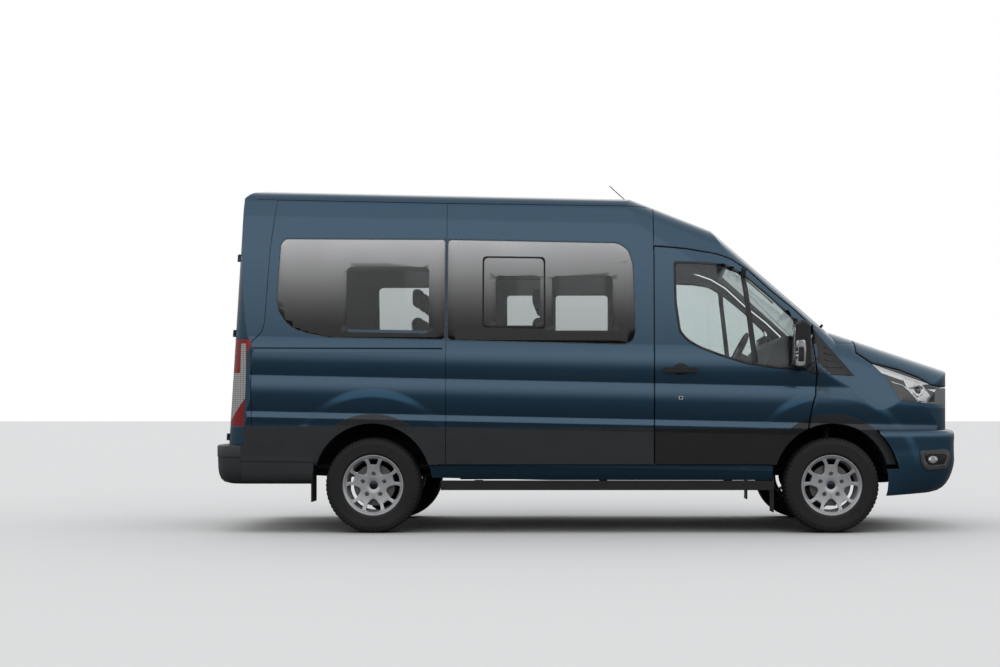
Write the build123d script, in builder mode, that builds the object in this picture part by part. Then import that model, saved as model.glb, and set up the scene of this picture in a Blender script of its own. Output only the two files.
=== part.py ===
"""Minibus with a medium roof: painted steel body, two cab doors, a fixed sliding side door,
twin rear doors, bonnet, glazing, cladding, seats, running gear and four road wheels.

Millimetres. X runs forward, Y to the left, Z up. The origin is on the ground, under the
middle of the vehicle's overall length. One half of the body is described and both are made.
"""
import math
import os

from build123d import *

os.makedirs("parts", exist_ok=True)

# ---------------------------------------------------------------- driving dimensions
overall_length = 5531.0
front_overhang = 1023.0
wheelbase = 3300.0
track = 1732.0
nose_x = overall_length / 2
tail_x = -overall_length / 2
front_axle_x = nose_x - front_overhang
rear_axle_x = front_axle_x - wheelbase

tyre_radius = 343.0
tyre_width = 215.0
rim_radius = 219.0
axle_z = tyre_radius

wall = 70.0                 # thickness of doors, flanks and roof
skin = 7.0                  # outer skin that runs past the box of a door to its shut line
skin_lap = 20.0             # how far the skin runs past the box
front_wall = 30.0           # thickness of wings and bonnet
shut_gap = 10.0             # gap round everything that opens
panel_gap = 4.0             # width of the groove seen between fixed panels
seat_gap = 0.3              # clearance between pieces that seat on each other
glass_set_in = 0.3
cladding_stand = 22.0       # how far the black mouldings stand out of the flank
frame_set_in = 6.0          # from the inner face of the doors to the frame behind them
frame_depth = 28.0
frame_return = 55.0         # width of the frame seen inside each doorway

rake = 1.2                  # the waist lines fall towards the nose by this many degrees
rake_pivot_x = -300.0       # section heights below are true at this station
taper_start_x = 1250.0      # forward of here the flanks turn in
taper_radius = 6000.0
taper_axis_y = 1021.0 - taper_radius

floor_z = 600.0
floor_thickness = 40.0
sill_z = 380.0
gutter_z = 2372.0

# Half of the cross-section, from the sill up. Columns: half-breadth y, height z, and the
# middle (y, z) of the arc that leads to the next row, or None for a straight run.
flank_rows = [
    (945.0, 380.0, None),
    (985.0, 480.0, None),
    (998.0, 745.0, None),
    (1008.0, 790.0, None),
    (998.0, 832.0, (1021.0, 950.0)),
    (1004.0, 1092.0, (1016.0, 1215.0)),
    (984.0, 1368.0, (952.0, 1740.0)),
    (902.0, 2115.0, None),
    (880.0, 2248.0, None),
    (846.0, 2352.0, (812.0, 2404.0)),
    (740.0, 2436.0, (380.0, 2486.0)),
]
crown_z = 2502.0

# Wheel arches
arch_radius = 420.0
arch_z = axle_z + 25.0
arch_flare = 68.0
front_arch_inner_y = 515.0
rear_arch_inner_y = 660.0

# Shut lines of the flank
front_door_rear_x = 465.0
sliding_door_rear_x = -1031.0
sill_top_z = 486.0

# Slopes of the front of the body: angle below the horizontal and a point (x, z) on the centre line
screen_slope, screen_point = 41.0, (1905.0, 1400.0)
brow_slope, brow_point = 21.4, (330.0, 2482.0)
bonnet_slope, bonnet_point = 18.5, (1935.0, 1432.0)
tail_slope, tail_point = 3.5, (-2640.0, 778.0)


# ---------------------------------------------------------------- outlines and prisms
def edges_of(loop):
    """Lines and arcs of a closed loop of (u, v) or (u, v, arc middle to the next point)."""
    found = []
    for row, following in zip(loop, loop[1:] + loop[:1]):
        start, end = row[:2], following[:2]
        if len(row) > 2 and row[2]:
            found.append(ThreePointArc(start, row[2], end, mode=Mode.PRIVATE))
        else:
            found.append(Line(start, end, mode=Mode.PRIVATE))
    return found


def counter_clockwise(loop):
    """The loop, turned round if it runs clockwise."""
    area = sum(a[0] * b[1] - b[0] * a[1] for a, b in zip(loop, loop[1:] + loop[:1]))
    if area > 0:
        return loop
    back = loop[::-1]
    middles = [row[2] if len(row) > 2 else None for row in back]
    return [(row[0], row[1], mid) for row, mid in zip(back, middles[1:] + middles[:1])]


def moved_in(loop, amount):
    """The loop with every line and arc moved inwards by amount, corners kept sharp."""
    if not amount:
        return loop
    edges = edges_of(loop)
    moved = []
    for i, edge in enumerate(edges):
        into = (edge % 0).rotate(Axis.Z, 90)
        into_before = (edges[i - 1] % 1).rotate(Axis.Z, 90)
        between = (into + into_before).normalized()
        corner = (edge @ 0) + between * (amount / between.dot(into))
        middle = None
        if len(loop[i]) > 2 and loop[i][2]:
            point = (edge @ 0.5) + (edge % 0.5).rotate(Axis.Z, 90) * amount
            middle = (point.X, point.Y)
        moved.append((corner.X, corner.Y, middle))
    return moved


def outline(loop, inset=0.0):
    """Face of a closed loop, moved in by inset."""
    edges = edges_of(moved_in(counter_clockwise(loop), inset))
    with BuildSketch(Plane.XY) as drawn:
        with BuildLine():
            add(edges)
        make_face()
    return drawn.sketch


def prism(plane, loop, reach, inset=0.0):
    """Bar of the loop's shape along plane's normal, reaching both ways."""
    face = outline(loop, inset)
    with BuildPart() as bar:
        with BuildSketch(plane):
            add(face)
        extrude(amount=reach, both=True)
    return bar.part


across_plane = Plane(origin=(0, 0, 0), x_dir=(1, 0, 0), z_dir=(0, -1, 0))
along_plane = Plane(origin=(0, 0, 0), x_dir=(0, 1, 0), z_dir=(1, 0, 0))


def across(loop, inset=0.0):
    """Prism across the vehicle of an outline in side view, (x, z)."""
    return prism(across_plane, loop, 1500, inset)


def along(loop, inset=0.0):
    """Prism along the vehicle of an outline in end view, (y, z)."""
    return prism(along_plane, loop, 4000, inset)


def upright(loop, inset=0.0):
    """Prism upwards of an outline in plan, (x, y)."""
    return prism(Plane.XY, loop, 4000, inset)


def block(x, y, z):
    """Box between two x, two y and two z."""
    return Pos((x[0] + x[1]) / 2, (y[0] + y[1]) / 2, (z[0] + z[1]) / 2) * Box(
        abs(x[1] - x[0]), abs(y[1] - y[0]), abs(z[1] - z[0])
    )


def both_sides(rows, back=None):
    """Closed loop of a half profile (y, z, arc middle) and its mirror image.

    With back, the loop drops from the last row to that depth and closes there."""
    right = [(y, z, mid) for y, z, mid in rows]
    if back:
        right += [(rows[-1][0], -back, None)]
    left = []
    for (y0, z0, mid), (y1, z1, _) in reversed(list(zip(right, right[1:]))):
        left.append((-y1, z1, (-mid[0], mid[1]) if mid else None))
    loop = right + left
    if right[0][0] == 0 and not back and right[-1][0] == 0:
        loop = right[:-1] + [(0, right[-1][1], left[0][2])] + left[1:]
    return loop


# ---------------------------------------------------------------- body form
def slope_plane(angle, point):
    """Plane square to a run that falls forward at angle: local x is Y, local y points out."""
    a = math.radians(angle)
    return Plane(
        origin=(point[0], 0, point[1]),
        x_dir=(0, 1, 0),
        z_dir=(math.cos(a), 0, -math.sin(a)),
    )


def flank_form(inset):
    """The flanks and roof: the cross-section drawn along the body, turning in at the front."""
    raked = slope_plane(rake, (rake_pivot_x, 0))
    rows = [(0, flank_rows[0][1], None)] + flank_rows + [(0, crown_z, None)]
    section = outline(both_sides(rows), inset)
    run = (taper_start_x - rake_pivot_x) / math.cos(math.radians(rake))
    with BuildPart() as straight:
        with BuildSketch(raked.offset(run - 4500)):
            add(section)
        extrude(amount=4500)
    turn_plane = raked.offset(run)
    with BuildPart() as turned:
        with BuildSketch(turn_plane):
            add(section)
            with Locations((600, 1300)):
                Rectangle(1200, 3000, mode=Mode.INTERSECT)
        centre = turn_plane.from_local_coords((taper_axis_y, 0, 0))
        revolve(axis=Axis(centre, -turn_plane.y_dir), revolution_arc=24)
        split(bisect_by=Plane.XZ, keep=Keep.BOTTOM)
        mirror(about=Plane.XZ)
    return straight.part + turned.part


crown_rows = [(0, 0, (380, -16)), (740, -66, (800, -95)), (850, -150, None), (1000, -520, None),
              (1500, -1400, None)]
screen_rows = [(0, 0, (400, -20)), (795, -81, (856, -116)), (888, -172, None),
               (985, -300, None), (1500, -900, None)]
bonnet_rows = [(0, 0, (380, -8)), (640, -30, (800, -75)), (900, -190, (935, -330)),
               (960, -460, None), (1500, -1400, None)]
tail_rows = [(0, 0, (430, -9)), (850, -36, (935, -66)), (985, -150, None), (1500, -900, None)]

# Side view. Columns: x, z, middle of the arc to the next row or None.
silhouette_rows = [
    (2705.0, 330.0, None),
    (2705.0, 744.0, (2692.0, 905.0)),
    (2655.0, 1045.0, (2632.0, 1130.0)),
    (2572.0, 1206.0, None),
    (1500.0, 2300.0, None),
    (1050.0, 2210.0, (780.0, 2385.0)),
    (330.0, 2484.0, (-900.0, 2509.0)),
    (-2250.0, 2518.0, (-2480.0, 2450.0)),
    (-2556.0, 2180.0, None),
    (-2740.0, 1500.0, None),
    (-2740.0, 330.0, None),
]
# Plan of the nose: half-breadth, set-back from the foremost point, arc middle
nose_rows = [(0, 0, (360, -22)), (690, -86, (820, -135)), (905, -262, None), (1060, -900, None),
             (1500, -3000, None)]


def body_form(inset=0.0):
    """Closed form of the painted body, set in from its surface by inset."""
    form = flank_form(inset) & across(silhouette_rows, inset)
    form = form & prism(slope_plane(brow_slope, brow_point), both_sides(crown_rows, 5000), 6000, inset)
    cabin = prism(slope_plane(screen_slope, screen_point), both_sides(screen_rows, 6000), 7000, inset)
    front = prism(slope_plane(bonnet_slope, bonnet_point), both_sides(bonnet_rows, 6000), 7000, inset)
    form = form & (cabin + front)
    lean = math.radians(tail_slope)
    tail = Plane(
        origin=(tail_point[0], 0, tail_point[1]),
        x_dir=(0, 1, 0),
        z_dir=(math.sin(lean), 0, math.cos(lean)),
    )
    form = form & prism(tail, both_sides(tail_rows, 7000), 4000, inset)
    nose = Plane(origin=(silhouette_rows[0][0], 0, 0), x_dir=(0, 1, 0), z_dir=(0, 0, -1))
    return form & prism(nose, both_sides(nose_rows, 7000), 4000, inset)


# ---------------------------------------------------------------- forms that the panels are cut from
outer_form = body_form()
skin_form = body_form(skin)
front_inner_form = body_form(front_wall)
inner_form = body_form(wall)
frame_form = body_form(wall + frame_set_in)
frame_inner_form = body_form(wall + frame_set_in + frame_depth)
cladding_form = body_form(-cladding_stand)
glass_form = body_form(glass_set_in)

far = 3000.0
mirrored = (("right", -1), ("left", 1))


def side_half(sign):
    """Everything on one side of the vehicle."""
    return block((-far, far), (0, sign * 1500), (-100, far))


def arch_cut(x, inner_y, radius, centre_z=arch_z):
    """Round wheel opening through both flanks, as deep as inner_y."""
    between = block((-far, far), (-inner_y, inner_y), (-far, far))
    with BuildPart() as cut:
        with BuildSketch(Plane.XZ):
            with Locations((x, centre_z)):
                Circle(radius)
            with Locations((x, centre_z - radius)):
                Rectangle(2 * radius, 2 * radius)
        extrude(amount=1500, both=True)
        add(between, mode=Mode.SUBTRACT)
    return cut.part


front_arch = arch_cut(front_axle_x, front_arch_inner_y, arch_radius)
rear_arch = arch_cut(rear_axle_x, rear_arch_inner_y, arch_radius)
arches = front_arch + rear_arch

shell = outer_form - inner_form - arches
shell -= block((-far, far), (-880, 880), (0, floor_z - floor_thickness))
front_shell = outer_form - front_inner_form - arches
front_shell -= block((-far, far), (-880, 880), (0, floor_z - floor_thickness))

roof_inner_y = 760.0
under_roof = block((-far, far), (-roof_inner_y - seat_gap, roof_inner_y + seat_gap), (1900, far))
half_gap = shut_gap / 2
waist_z = 1381.0
glass_top_z = 2117.0

# Front door in side view, clockwise from its lower rear corner
front_door_outline = [
    (front_door_rear_x, sill_top_z), (front_door_rear_x, 2071), (705, 2052), (927, 2015),
    (1029, 1978), (1146, 1905), (1307, 1758), (1481, 1619), (1602, 1505), (1631, 1136),
    (1620, 1000), (1595, 900), (1566, 745), (1566, sill_top_z),
]
front_window_outline = [
    (610, 1956), (875, 1950), (1017, 1926), (1135, 1855), (1307, 1712), (1481, 1549),
    (1545, 1440), (1612, 1172), (1360, 1176), (1130, 1215), (952, 1270), (790, 1332),
    (700, 1385), (645, 1450), (615, 1660),
]
front_light_outline = [
    (610, 1956), (875, 1950), (1017, 1926), (1135, 1855), (1307, 1712), (1481, 1549),
    (1500, 1440), (1500, 1190), (1360, 1181), (1130, 1215), (952, 1270), (790, 1332),
    (700, 1385), (645, 1450), (615, 1660),
]
sail_outline = [
    (1512, 1518), (1602, 1505), (1629, 1158), (1512, 1190),
]
sliding_door_outline = [
    (sliding_door_rear_x, sill_top_z), (sliding_door_rear_x, gutter_z + 15),
    (front_door_rear_x, gutter_z - 5), (front_door_rear_x, sill_top_z),
]
rear_quarter_seam = [
    (-2264, 3000), (-2264, 2372), (-2282, 2253), (-2304, 2060), (-2334, 1515), (-2352, 1445),
    (-2425, 1372), (-2425, 1100), (-2425, 200), (-3200, 200), (-3200, 3000),
]
window_front_x = sliding_door_rear_x - half_gap - 1.0
window_rear_x = sliding_door_rear_x + half_gap + 1.0
quarter_window_outline = [
    (-2196, 2124), (window_front_x, 2119), (window_front_x, 1388), (-1890, 1405),
    (-2020, 1432), (-2120, 1462), (-2190, 1518), (-2237, 1590), (-2252, 1670), (-2232, 2085),
]
quarter_light_outline = [
    (-2110, 2055), (-1135, 2050), (-1135, 1455), (-1885, 1470), (-1990, 1495), (-2070, 1535),
    (-2130, 1610), (-2160, 1700), (-2140, 2020),
]
sliding_window_outline = [
    (window_rear_x, 2119), (210, 2095), (285, 2040), (316, 1935), (334, 1440), (310, 1375),
    (255, 1355), (window_rear_x, 1384),
]
sliding_light_outline = [
    (-940, 2050), (165, 2030), (220, 1985), (240, 1900), (255, 1470), (215, 1425),
    (-920, 1445), (-940, 1465),
]


def gap_in(loop, amount=half_gap):
    """Outline moved in by its half of a gap."""
    return [row[:2] for row in moved_in(counter_clockwise(loop), amount)]


def glazed(panel, outer_loop, light_loop):
    """Panel with a recess for a bonded pane and the smaller daylight opening behind it."""
    return panel - (across(outer_loop) - skin_form) - across(light_loop)


def save(part, name):
    """Label a finished piece and write it."""
    solids = part.solids()
    piece = Part() + solids if len(solids) != 1 else solids[0]
    piece.label = name
    export_step(piece, f"parts/{name}.step")


def hollow_panel(shell_form, outline_xz):
    """Skin over the whole outline, with the box behind it set back from the shut lines."""
    full = shell_form & across(gap_in(outline_xz))
    return full - (skin_form - across(gap_in(outline_xz, half_gap + skin_lap)))


def fixed_panel(shell_form, outline_xz):
    """Panel that meets its neighbours inside, with its skin drawn back to a groove."""
    full = shell_form & across(gap_in(outline_xz, seat_gap / 2))
    return full - ((outer_form - skin_form) - across(gap_in(outline_xz, panel_gap / 2)))


door_seam = block((front_door_rear_x - half_gap, front_door_rear_x + half_gap), (-1500, 1500), (0, far))

# ---------------------------------------------------------------- doors of the cab
# The hinge line leans in towards its top, behind the skin of the wing.
hinge_x, hinge_y, hinge_z = 1662.0, 963.0, 1130.0
hinge_lean = 3.5
pin_radius, eye_radius, pin_clearance = 6.0, 12.0, 0.3
eye_height, leaf = 30.0, 8.0
front_hinges = [-130.0, 75.0]


def on_hinge_line(along_line, sign):
    """Place of a front-door hinge, a distance up its line."""
    return (
        Pos(hinge_x, sign * hinge_y, hinge_z) * Rot(X=sign * hinge_lean) * Pos(0, 0, along_line)
    )


def door_leaf(sign):
    """Strap and eye of one front hinge, about its pin."""
    with BuildPart() as made:
        Cylinder(eye_radius, eye_height)
        with Locations((-41, -sign * 29, 0)):
            Box(92, leaf, eye_height)
        with Locations((-2, -sign * 17, 0)):
            Box(14, 30, eye_height)
        Cylinder(pin_radius + pin_clearance, eye_height, mode=Mode.SUBTRACT)
    return made.part


def pillar_leaf(sign):
    """Pin of one front hinge and the two plates that carry it from the pillar."""
    with BuildPart() as made:
        Cylinder(pin_radius, eye_height + 2 * leaf + 2 * pin_clearance)
        shift = eye_height / 2 + pin_clearance + leaf / 2
        with Locations((0, -sign * 36, shift), (0, -sign * 36, -shift)):
            Box(26, 84, leaf)
    return made.part


front_door = hollow_panel(shell, front_door_outline)
front_door -= across(gap_in(front_window_outline, 0))
front_glass = (glass_form - skin_form) & across(gap_in(front_light_outline, seat_gap))
sail = (outer_form - skin_form) & across(gap_in(sail_outline, 0))
for side, sign in mirrored:
    half = side_half(sign)
    door = front_door & half
    for place in front_hinges:
        door += on_hinge_line(place, sign) * door_leaf(sign)
    save(door, f"front_door_{side}")
    save(front_glass & half, f"front_door_glass_{side}")

# ---------------------------------------------------------------- sliding door, right side only
sliding_door = fixed_panel(shell, sliding_door_outline) & side_half(-1)
sliding_door -= door_seam + under_roof
sliding_door = glazed(sliding_door, sliding_window_outline, sliding_light_outline)
save(sliding_door, "sliding_door")

# ---------------------------------------------------------------- fixed flanks
gutter_line = [
    (front_door_rear_x, gutter_z - 5), (sliding_door_rear_x, gutter_z + 15), (-2264, gutter_z + 40),
]
quarter_seam = [
    (-2282, 2253), (-2304, 2060), (-2334, 1515), (-2352, 1445), (-2425, 1372), (-2425, sill_top_z),
]
right_outline = [(sliding_door_rear_x, sill_top_z)] + gutter_line[1:] + quarter_seam
left_outline = [(front_door_rear_x, sill_top_z)] + gutter_line + quarter_seam
right_side = (fixed_panel(shell, right_outline) & side_half(-1)) - under_roof
rail_depth = 16.0
rail_floor = Pos(0, rail_depth - skin, 0) * skin_form
rail_slot = [(-2415, 1296), (-1056, 1292), (-1056, 1328), (-2415, 1332)]
right_side -= (across(rail_slot) & side_half(-1)) - rail_floor
save(glazed(right_side, quarter_window_outline, quarter_light_outline), "side_panel_right")
left_side = (fixed_panel(shell, left_outline) & side_half(1)) - door_seam - under_roof
left_side = glazed(left_side, quarter_window_outline, quarter_light_outline)
save(glazed(left_side, sliding_window_outline, sliding_light_outline), "side_panel_left")

# ---------------------------------------------------------------- roof
roof_outline = [(-2420, 3000), (front_door_rear_x, 3000)] + gutter_line + [(-2420, gutter_z + 44)]
roof = fixed_panel(shell, roof_outline)
roof += shell & block((-2262, front_door_rear_x - seat_gap), (-roof_inner_y, roof_inner_y), (2200, far))
save(roof, "roof_panel")

# ---------------------------------------------------------------- cab frame, windscreen, cowl
cowl_z = 1372.0
screen_reach = 250.0
screen_half_bottom, screen_half_top = 800.0, 745.0
screen_bottom, screen_top = 140.0, 985.0
screen_outline = [
    (-screen_half_bottom, screen_bottom, (0, screen_bottom - 22)),
    (screen_half_bottom, screen_bottom, None),
    (screen_half_top, screen_top, (0, screen_top + 45)), (-screen_half_top, screen_top, None),
]


def screen_prism(inset):
    """Bar square to the windscreen: its outline in y and distance up the slope."""
    face = slope_plane(screen_slope, screen_point)
    out = Plane(origin=face.origin, x_dir=(0, 1, 0), z_dir=face.y_dir)
    return prism(out, screen_outline, screen_reach, inset)


door_top_line = [
    (front_door_rear_x, 2071), (705, 2052), (927, 2015), (1029, 1978), (1146, 1905),
    (1307, 1758), (1481, 1619), (1602, 1505),
]
cab_outline = [(1745, 1440), (1800, 1372), (1930, 1372), (1930, 3000), (front_door_rear_x, 3000)]
cab_frame = fixed_panel(shell, cab_outline + door_top_line)
cab_frame -= across(gap_in(front_door_outline, -half_gap)) + screen_prism(0)
bonnet_hinge_x, bonnet_hinge_y, bonnet_hinge_z = 1905.0, 600.0, 1386.0
cowl_drop = 32.0
cowl_rise = math.tan(math.radians(bonnet_slope))
cowl_front_z = bonnet_point[1] - cowl_drop
cowl_back_x, cowl_front_x = 1850.0, 1945.0
cowl_recess = [
    (cowl_front_x, cowl_front_z - (cowl_front_x - bonnet_point[0]) * cowl_rise),
    (cowl_front_x, 1600), (cowl_back_x, 1600),
    (cowl_back_x, cowl_front_z + (bonnet_point[0] - cowl_back_x) * cowl_rise),
]
cab_frame -= across(cowl_recess) & block((0, far), (-760, 760), (0, far))
for y in (-bonnet_hinge_y, bonnet_hinge_y):
    cab_frame -= block((1878, cowl_front_x), (y - 45, y + 45), (0, far)) & skin_form
    with BuildPart() as pin:
        with BuildSketch(Plane.XZ.offset(-(y + 34))):
            with Locations((bonnet_hinge_x, bonnet_hinge_z)):
                Circle(pin_radius)
        extrude(amount=68)
        for shift in (-24, 24):
            with Locations((bonnet_hinge_x - 21.5, y + shift, bonnet_hinge_z + 1)):
                Box(67, leaf, 26)
    cab_frame += pin.part
save(cab_frame, "cab_frame")
windscreen = (glass_form - skin_form) & screen_prism(seat_gap)
save(windscreen, "windscreen")

# ---------------------------------------------------------------- front end
bumper_top_z = 741.0
lamp_outline = [
    (2043, 1220), (2231, 1174), (2378, 1118), (2472, 1061), (2760, 1000), (2760, 925),
    (2527, 923), (2240, 955), (2160, 1101),
]
lamp_inner_y = 570.0
bonnet_line = [
    (1935, 3000), (1935, 1300), (2043, 1220 + 4), (2231, 1174 + 4), (2378, 1118 + 4),
    (2472, 1061 + 4), (2530, 1050), (2900, 1050), (2900, 3000),
]
grille_half = 540.0
grille_outline = [
    (-grille_half, 780), (grille_half, 780), (grille_half + 20, 1040), (-grille_half - 20, 1040),
]
lamps = (outer_form - inner_form) & across(gap_in(lamp_outline, 0))
lamps -= block((-far, far), (-lamp_inner_y, lamp_inner_y), (0, far))
bonnet = (outer_form - front_inner_form) & across(gap_in(bonnet_line))
for y in (-bonnet_hinge_y, bonnet_hinge_y):
    with BuildPart() as arm:
        with Locations((bonnet_hinge_x, y, bonnet_hinge_z)):
            Cylinder(eye_radius, 36, rotation=(90, 0, 0))
            with Locations((46, 0, -23)):
                Box(100, 36, leaf)
            with Locations((2, 0, -13)):
                Box(14, 36, 24)
            with Locations((82, 0, -10)):
                Box(28, 36, 34)
            Cylinder(pin_radius + pin_clearance, 36, rotation=(90, 0, 0), mode=Mode.SUBTRACT)
    bonnet += arm.part & outer_form
save(bonnet, "bonnet")
wing_region = [
    (1631, 1136), (1602, 1505), (1745, 1440), (1800, 1372), (1935, 1372), (1935, 1300),
    (2043, 1220), (2231, 1174), (2378, 1118), (2472, 1061), (2530, 1050), (2900, 1050),
    (2900, bumper_top_z), (1566, bumper_top_z), (1595, 900), (1620, 1000),
]
wings = front_shell & across(gap_in(wing_region, seat_gap / 2))
wings -= across(gap_in(front_door_outline, -half_gap)) + across(gap_in(bonnet_line, -half_gap))
between_lamps = block((-far, far), (-lamp_inner_y + seat_gap, lamp_inner_y - seat_gap), (0, far))
wings -= across(gap_in(lamp_outline, -seat_gap)) - between_lamps
wings -= along(gap_in(grille_outline, -seat_gap)) & block((2000, far), (-900, 900), (0, far))
wings -= screen_prism(-seat_gap)
for sign in (-1, 1):
    for place in front_hinges:
        pocket = on_hinge_line(place, sign) * Pos(-20, 0, 0) * Box(140, 120, 70)
        wings -= pocket & skin_form
save(wings, "front_wings")
save(lamps, "headlamps")
grille_area = (outer_form - front_inner_form) & along(gap_in(grille_outline, 0)) & block((2000, far), (-900, 900), (0, far))
slats = None
grille_bars = 4
for row in range(grille_bars):
    z = 800 + row * 62
    slats_cut = block((2000, far), (-grille_half + 25, grille_half - 25), (z, z + 34))
    grille_area -= slats_cut
save(grille_area, "grille")

bumper_wall = 40.0
bumper_flare_z = 462.0
bumper_side = [
    (2085, bumper_top_z - seat_gap), (2692, bumper_top_z - seat_gap, (2745, 712)),
    (overall_length / 2, 655), (overall_length / 2, 480, (2752, 385)), (2700, 330), (2600, 292),
    (2142, 268),
]
bumper_plan = [
    (0, 0, (430, -29)), (800, -106, (893, -150)), (962, -280, (985, -460)), (1000, -700, None),
    (1004, -1200, None),
]
bumper_nose = Plane(origin=(overall_length / 2, 0, 0), x_dir=(0, 1, 0), z_dir=(0, 0, -1))


def bumper_form(inset):
    """Closed form of the front bumper."""
    return across(bumper_side, inset) & prism(bumper_nose, both_sides(bumper_plan, 3000), 2000, inset)


front_bumper = bumper_form(0) - bumper_form(bumper_wall)
front_bumper -= block((0, 2400), (-930, 930), (0, far)) + arch_cut(front_axle_x, 600, arch_radius - 20)
front_bumper -= arch_cut(front_axle_x, 600, arch_radius + arch_flare + seat_gap) & block((0, far), (-1500, 1500), (bumper_flare_z, far))
fog_outline = [(2392, 592), (2590, 600), (2625, 560), (2588, 462), (2442, 450), (2404, 500)]
intake_outline = [(-450, 352), (450, 352), (520, 560), (-520, 560)]
corners = block((0, far), (-1500, -560), (0, far)) + block((0, far), (560, 1500), (0, far))
front_bumper -= (across(fog_outline) & corners) - bumper_form(24)
front_bumper -= (along(intake_outline) & block((2400, far), (-900, 900), (0, far))) - bumper_form(28)
save(front_bumper, "front_bumper")

# ---------------------------------------------------------------- rear end
rear_door_half, rear_door_bottom, rear_door_top = 838.0, 650.0, 2300.0
rear_bumper_top, rear_bumper_bottom = 632.0, 352.0
rear_hinge_y, rear_hinge_out = 843.0, 16.0
rear_hinge_heights = [690.0, 1440.0, 1986.0]
rear_door_loop = [
    (shut_gap / 2, rear_door_bottom), (rear_door_half, rear_door_bottom),
    (rear_door_half, 2080), (800, 2240), (740, rear_door_top), (shut_gap / 2, rear_door_top),
]
rear_window_loop = [
    (110, 1400), (700, 1400), (735, 1450), (715, 2000), (660, 2070), (110, 2070),
]
rear_outline = [(-2264, gutter_z + 40)] + quarter_seam[:-1] + [(-2425, rear_bumper_top + seat_gap), (-3200, rear_bumper_top + seat_gap), (-3200, 3000), (-2264, 3000)]
rear_shell = fixed_panel(shell, rear_outline)
rear_opening = along(both_sides([(0, rear_door_bottom - shut_gap, None), (rear_door_half + shut_gap, rear_door_bottom - shut_gap, None),
                           (rear_door_half + shut_gap, 2080, None), (808, 2245, None), (745, rear_door_top + shut_gap, None), (0, rear_door_top + shut_gap, None)]))
rear_opening &= block((-far, -2380), (-1500, 1500), (0, far))
lamp_box = across([(-2800, 770), (-2480, 770), (-2460, 1310), (-2420, 1352), (-2440, 1392), (-2800, 1392)])
lamp_box &= block((-far, 0), (-1500, -870), (0, far)) + block((-far, 0), (870, 1500), (0, far))
def on_rear_hinge(z, sign):
    """Place of a rear-door hinge: on the skin of the tail, its own Z up the leaning tail."""
    x = tail_point[0] + (z - tail_point[1]) * math.tan(math.radians(tail_slope)) + 35.5
    return Pos(x, sign * rear_hinge_y, z) * Rot(Y=tail_slope)


def rear_hinge(sign, door_part):
    """Pin with its plate, or eye with its strap; X is forwards from the skin of the tail."""
    with BuildPart() as made:
        if door_part:
            with Locations((-rear_hinge_out, 0, 0)):
                Cylinder(10, 30)
            with Locations((-5.5, -sign * 32, 0)):
                Box(11, 64, 30)
            with Locations((-rear_hinge_out, 0, 0)):
                Cylinder(5 + pin_clearance, 30, mode=Mode.SUBTRACT)
        else:
            with Locations((-rear_hinge_out, 0, 0)):
                Cylinder(5, 50)
            with Locations((-rear_hinge_out, 0, 20.15), (-rear_hinge_out, 0, -20.15)):
                Cylinder(10, 9.7)
            with Locations((1, sign * 27, 20.15), (1, sign * 27, -20.15)):
                Box(22, 46, 9.7)
            with Locations((-9, sign * 9, 20.15), (-9, sign * 9, -20.15)):
                Box(14, 12, 9.7)
    return made.part


rear_frame = rear_shell - rear_opening - lamp_box - across(gap_in(roof_outline, -seat_gap))
for side, sign in mirrored:
    for z in rear_hinge_heights:
        rear_frame += (on_rear_hinge(z, sign) * rear_hinge(sign, False)) - skin_form
save(rear_frame, "rear_frame")
tail_lamps = (outer_form - inner_form) & lamp_box & block((-far, -2425 - seat_gap), (-1500, 1500), (0, far))
save(tail_lamps, "tail_lamps")
for side, sign in mirrored:
    loop = [(sign * y, z) for y, z in rear_door_loop]
    window = [(sign * y, z) for y, z in rear_window_loop]
    back = block((-far, -2380), (-1500, 1500), (0, far))
    door = shell & along(gap_in(loop, 0)) & back
    door -= along(gap_in(window, 0))
    for z in rear_hinge_heights:
        door += (on_rear_hinge(z, sign) * rear_hinge(sign, True)) - skin_form
    save(door, f"rear_door_{side}")
    pane = (glass_form - skin_form) & along(gap_in(window, seat_gap)) & back
    save(pane, f"rear_door_glass_{side}")

# ---------------------------------------------------------------- fixed side glass
side_glass = (glass_form - skin_form) & (across(gap_in(quarter_window_outline, seat_gap)))
slide_glass = (glass_form - skin_form) & (across(gap_in(sliding_window_outline, seat_gap)))
save(side_glass + slide_glass, "side_glass")

# ---------------------------------------------------------------- rear bumper, cladding, sills
rear_bumper_side = [
    (-2500, rear_bumper_top), (tail_x, rear_bumper_top), (tail_x, 400, (-2755, 362)),
    (-2730, rear_bumper_bottom), (-2500, rear_bumper_bottom),
]
rear_bumper_plan = [
    (0, 0, (330, -5)), (640, -26, (830, -62)), (955, -130, (992, -180)), (1008, -270, None),
    (1012, -400, None),
]
rear_plane = Plane(origin=(tail_x, 0, 0), x_dir=(0, 1, 0), z_dir=(0, 0, 1))


def rear_bumper_form(inset):
    """Closed form of the rear bumper."""
    return across(rear_bumper_side, inset) & prism(rear_plane, both_sides(rear_bumper_plan, 3000), 2000, inset)


rear_bumper = rear_bumper_form(0) - rear_bumper_form(30)
rear_bumper -= block((-2700, 0), (-950, 950), (rear_bumper_bottom + 30, rear_bumper_top - 30))
save(rear_bumper, "rear_bumper")

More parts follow.
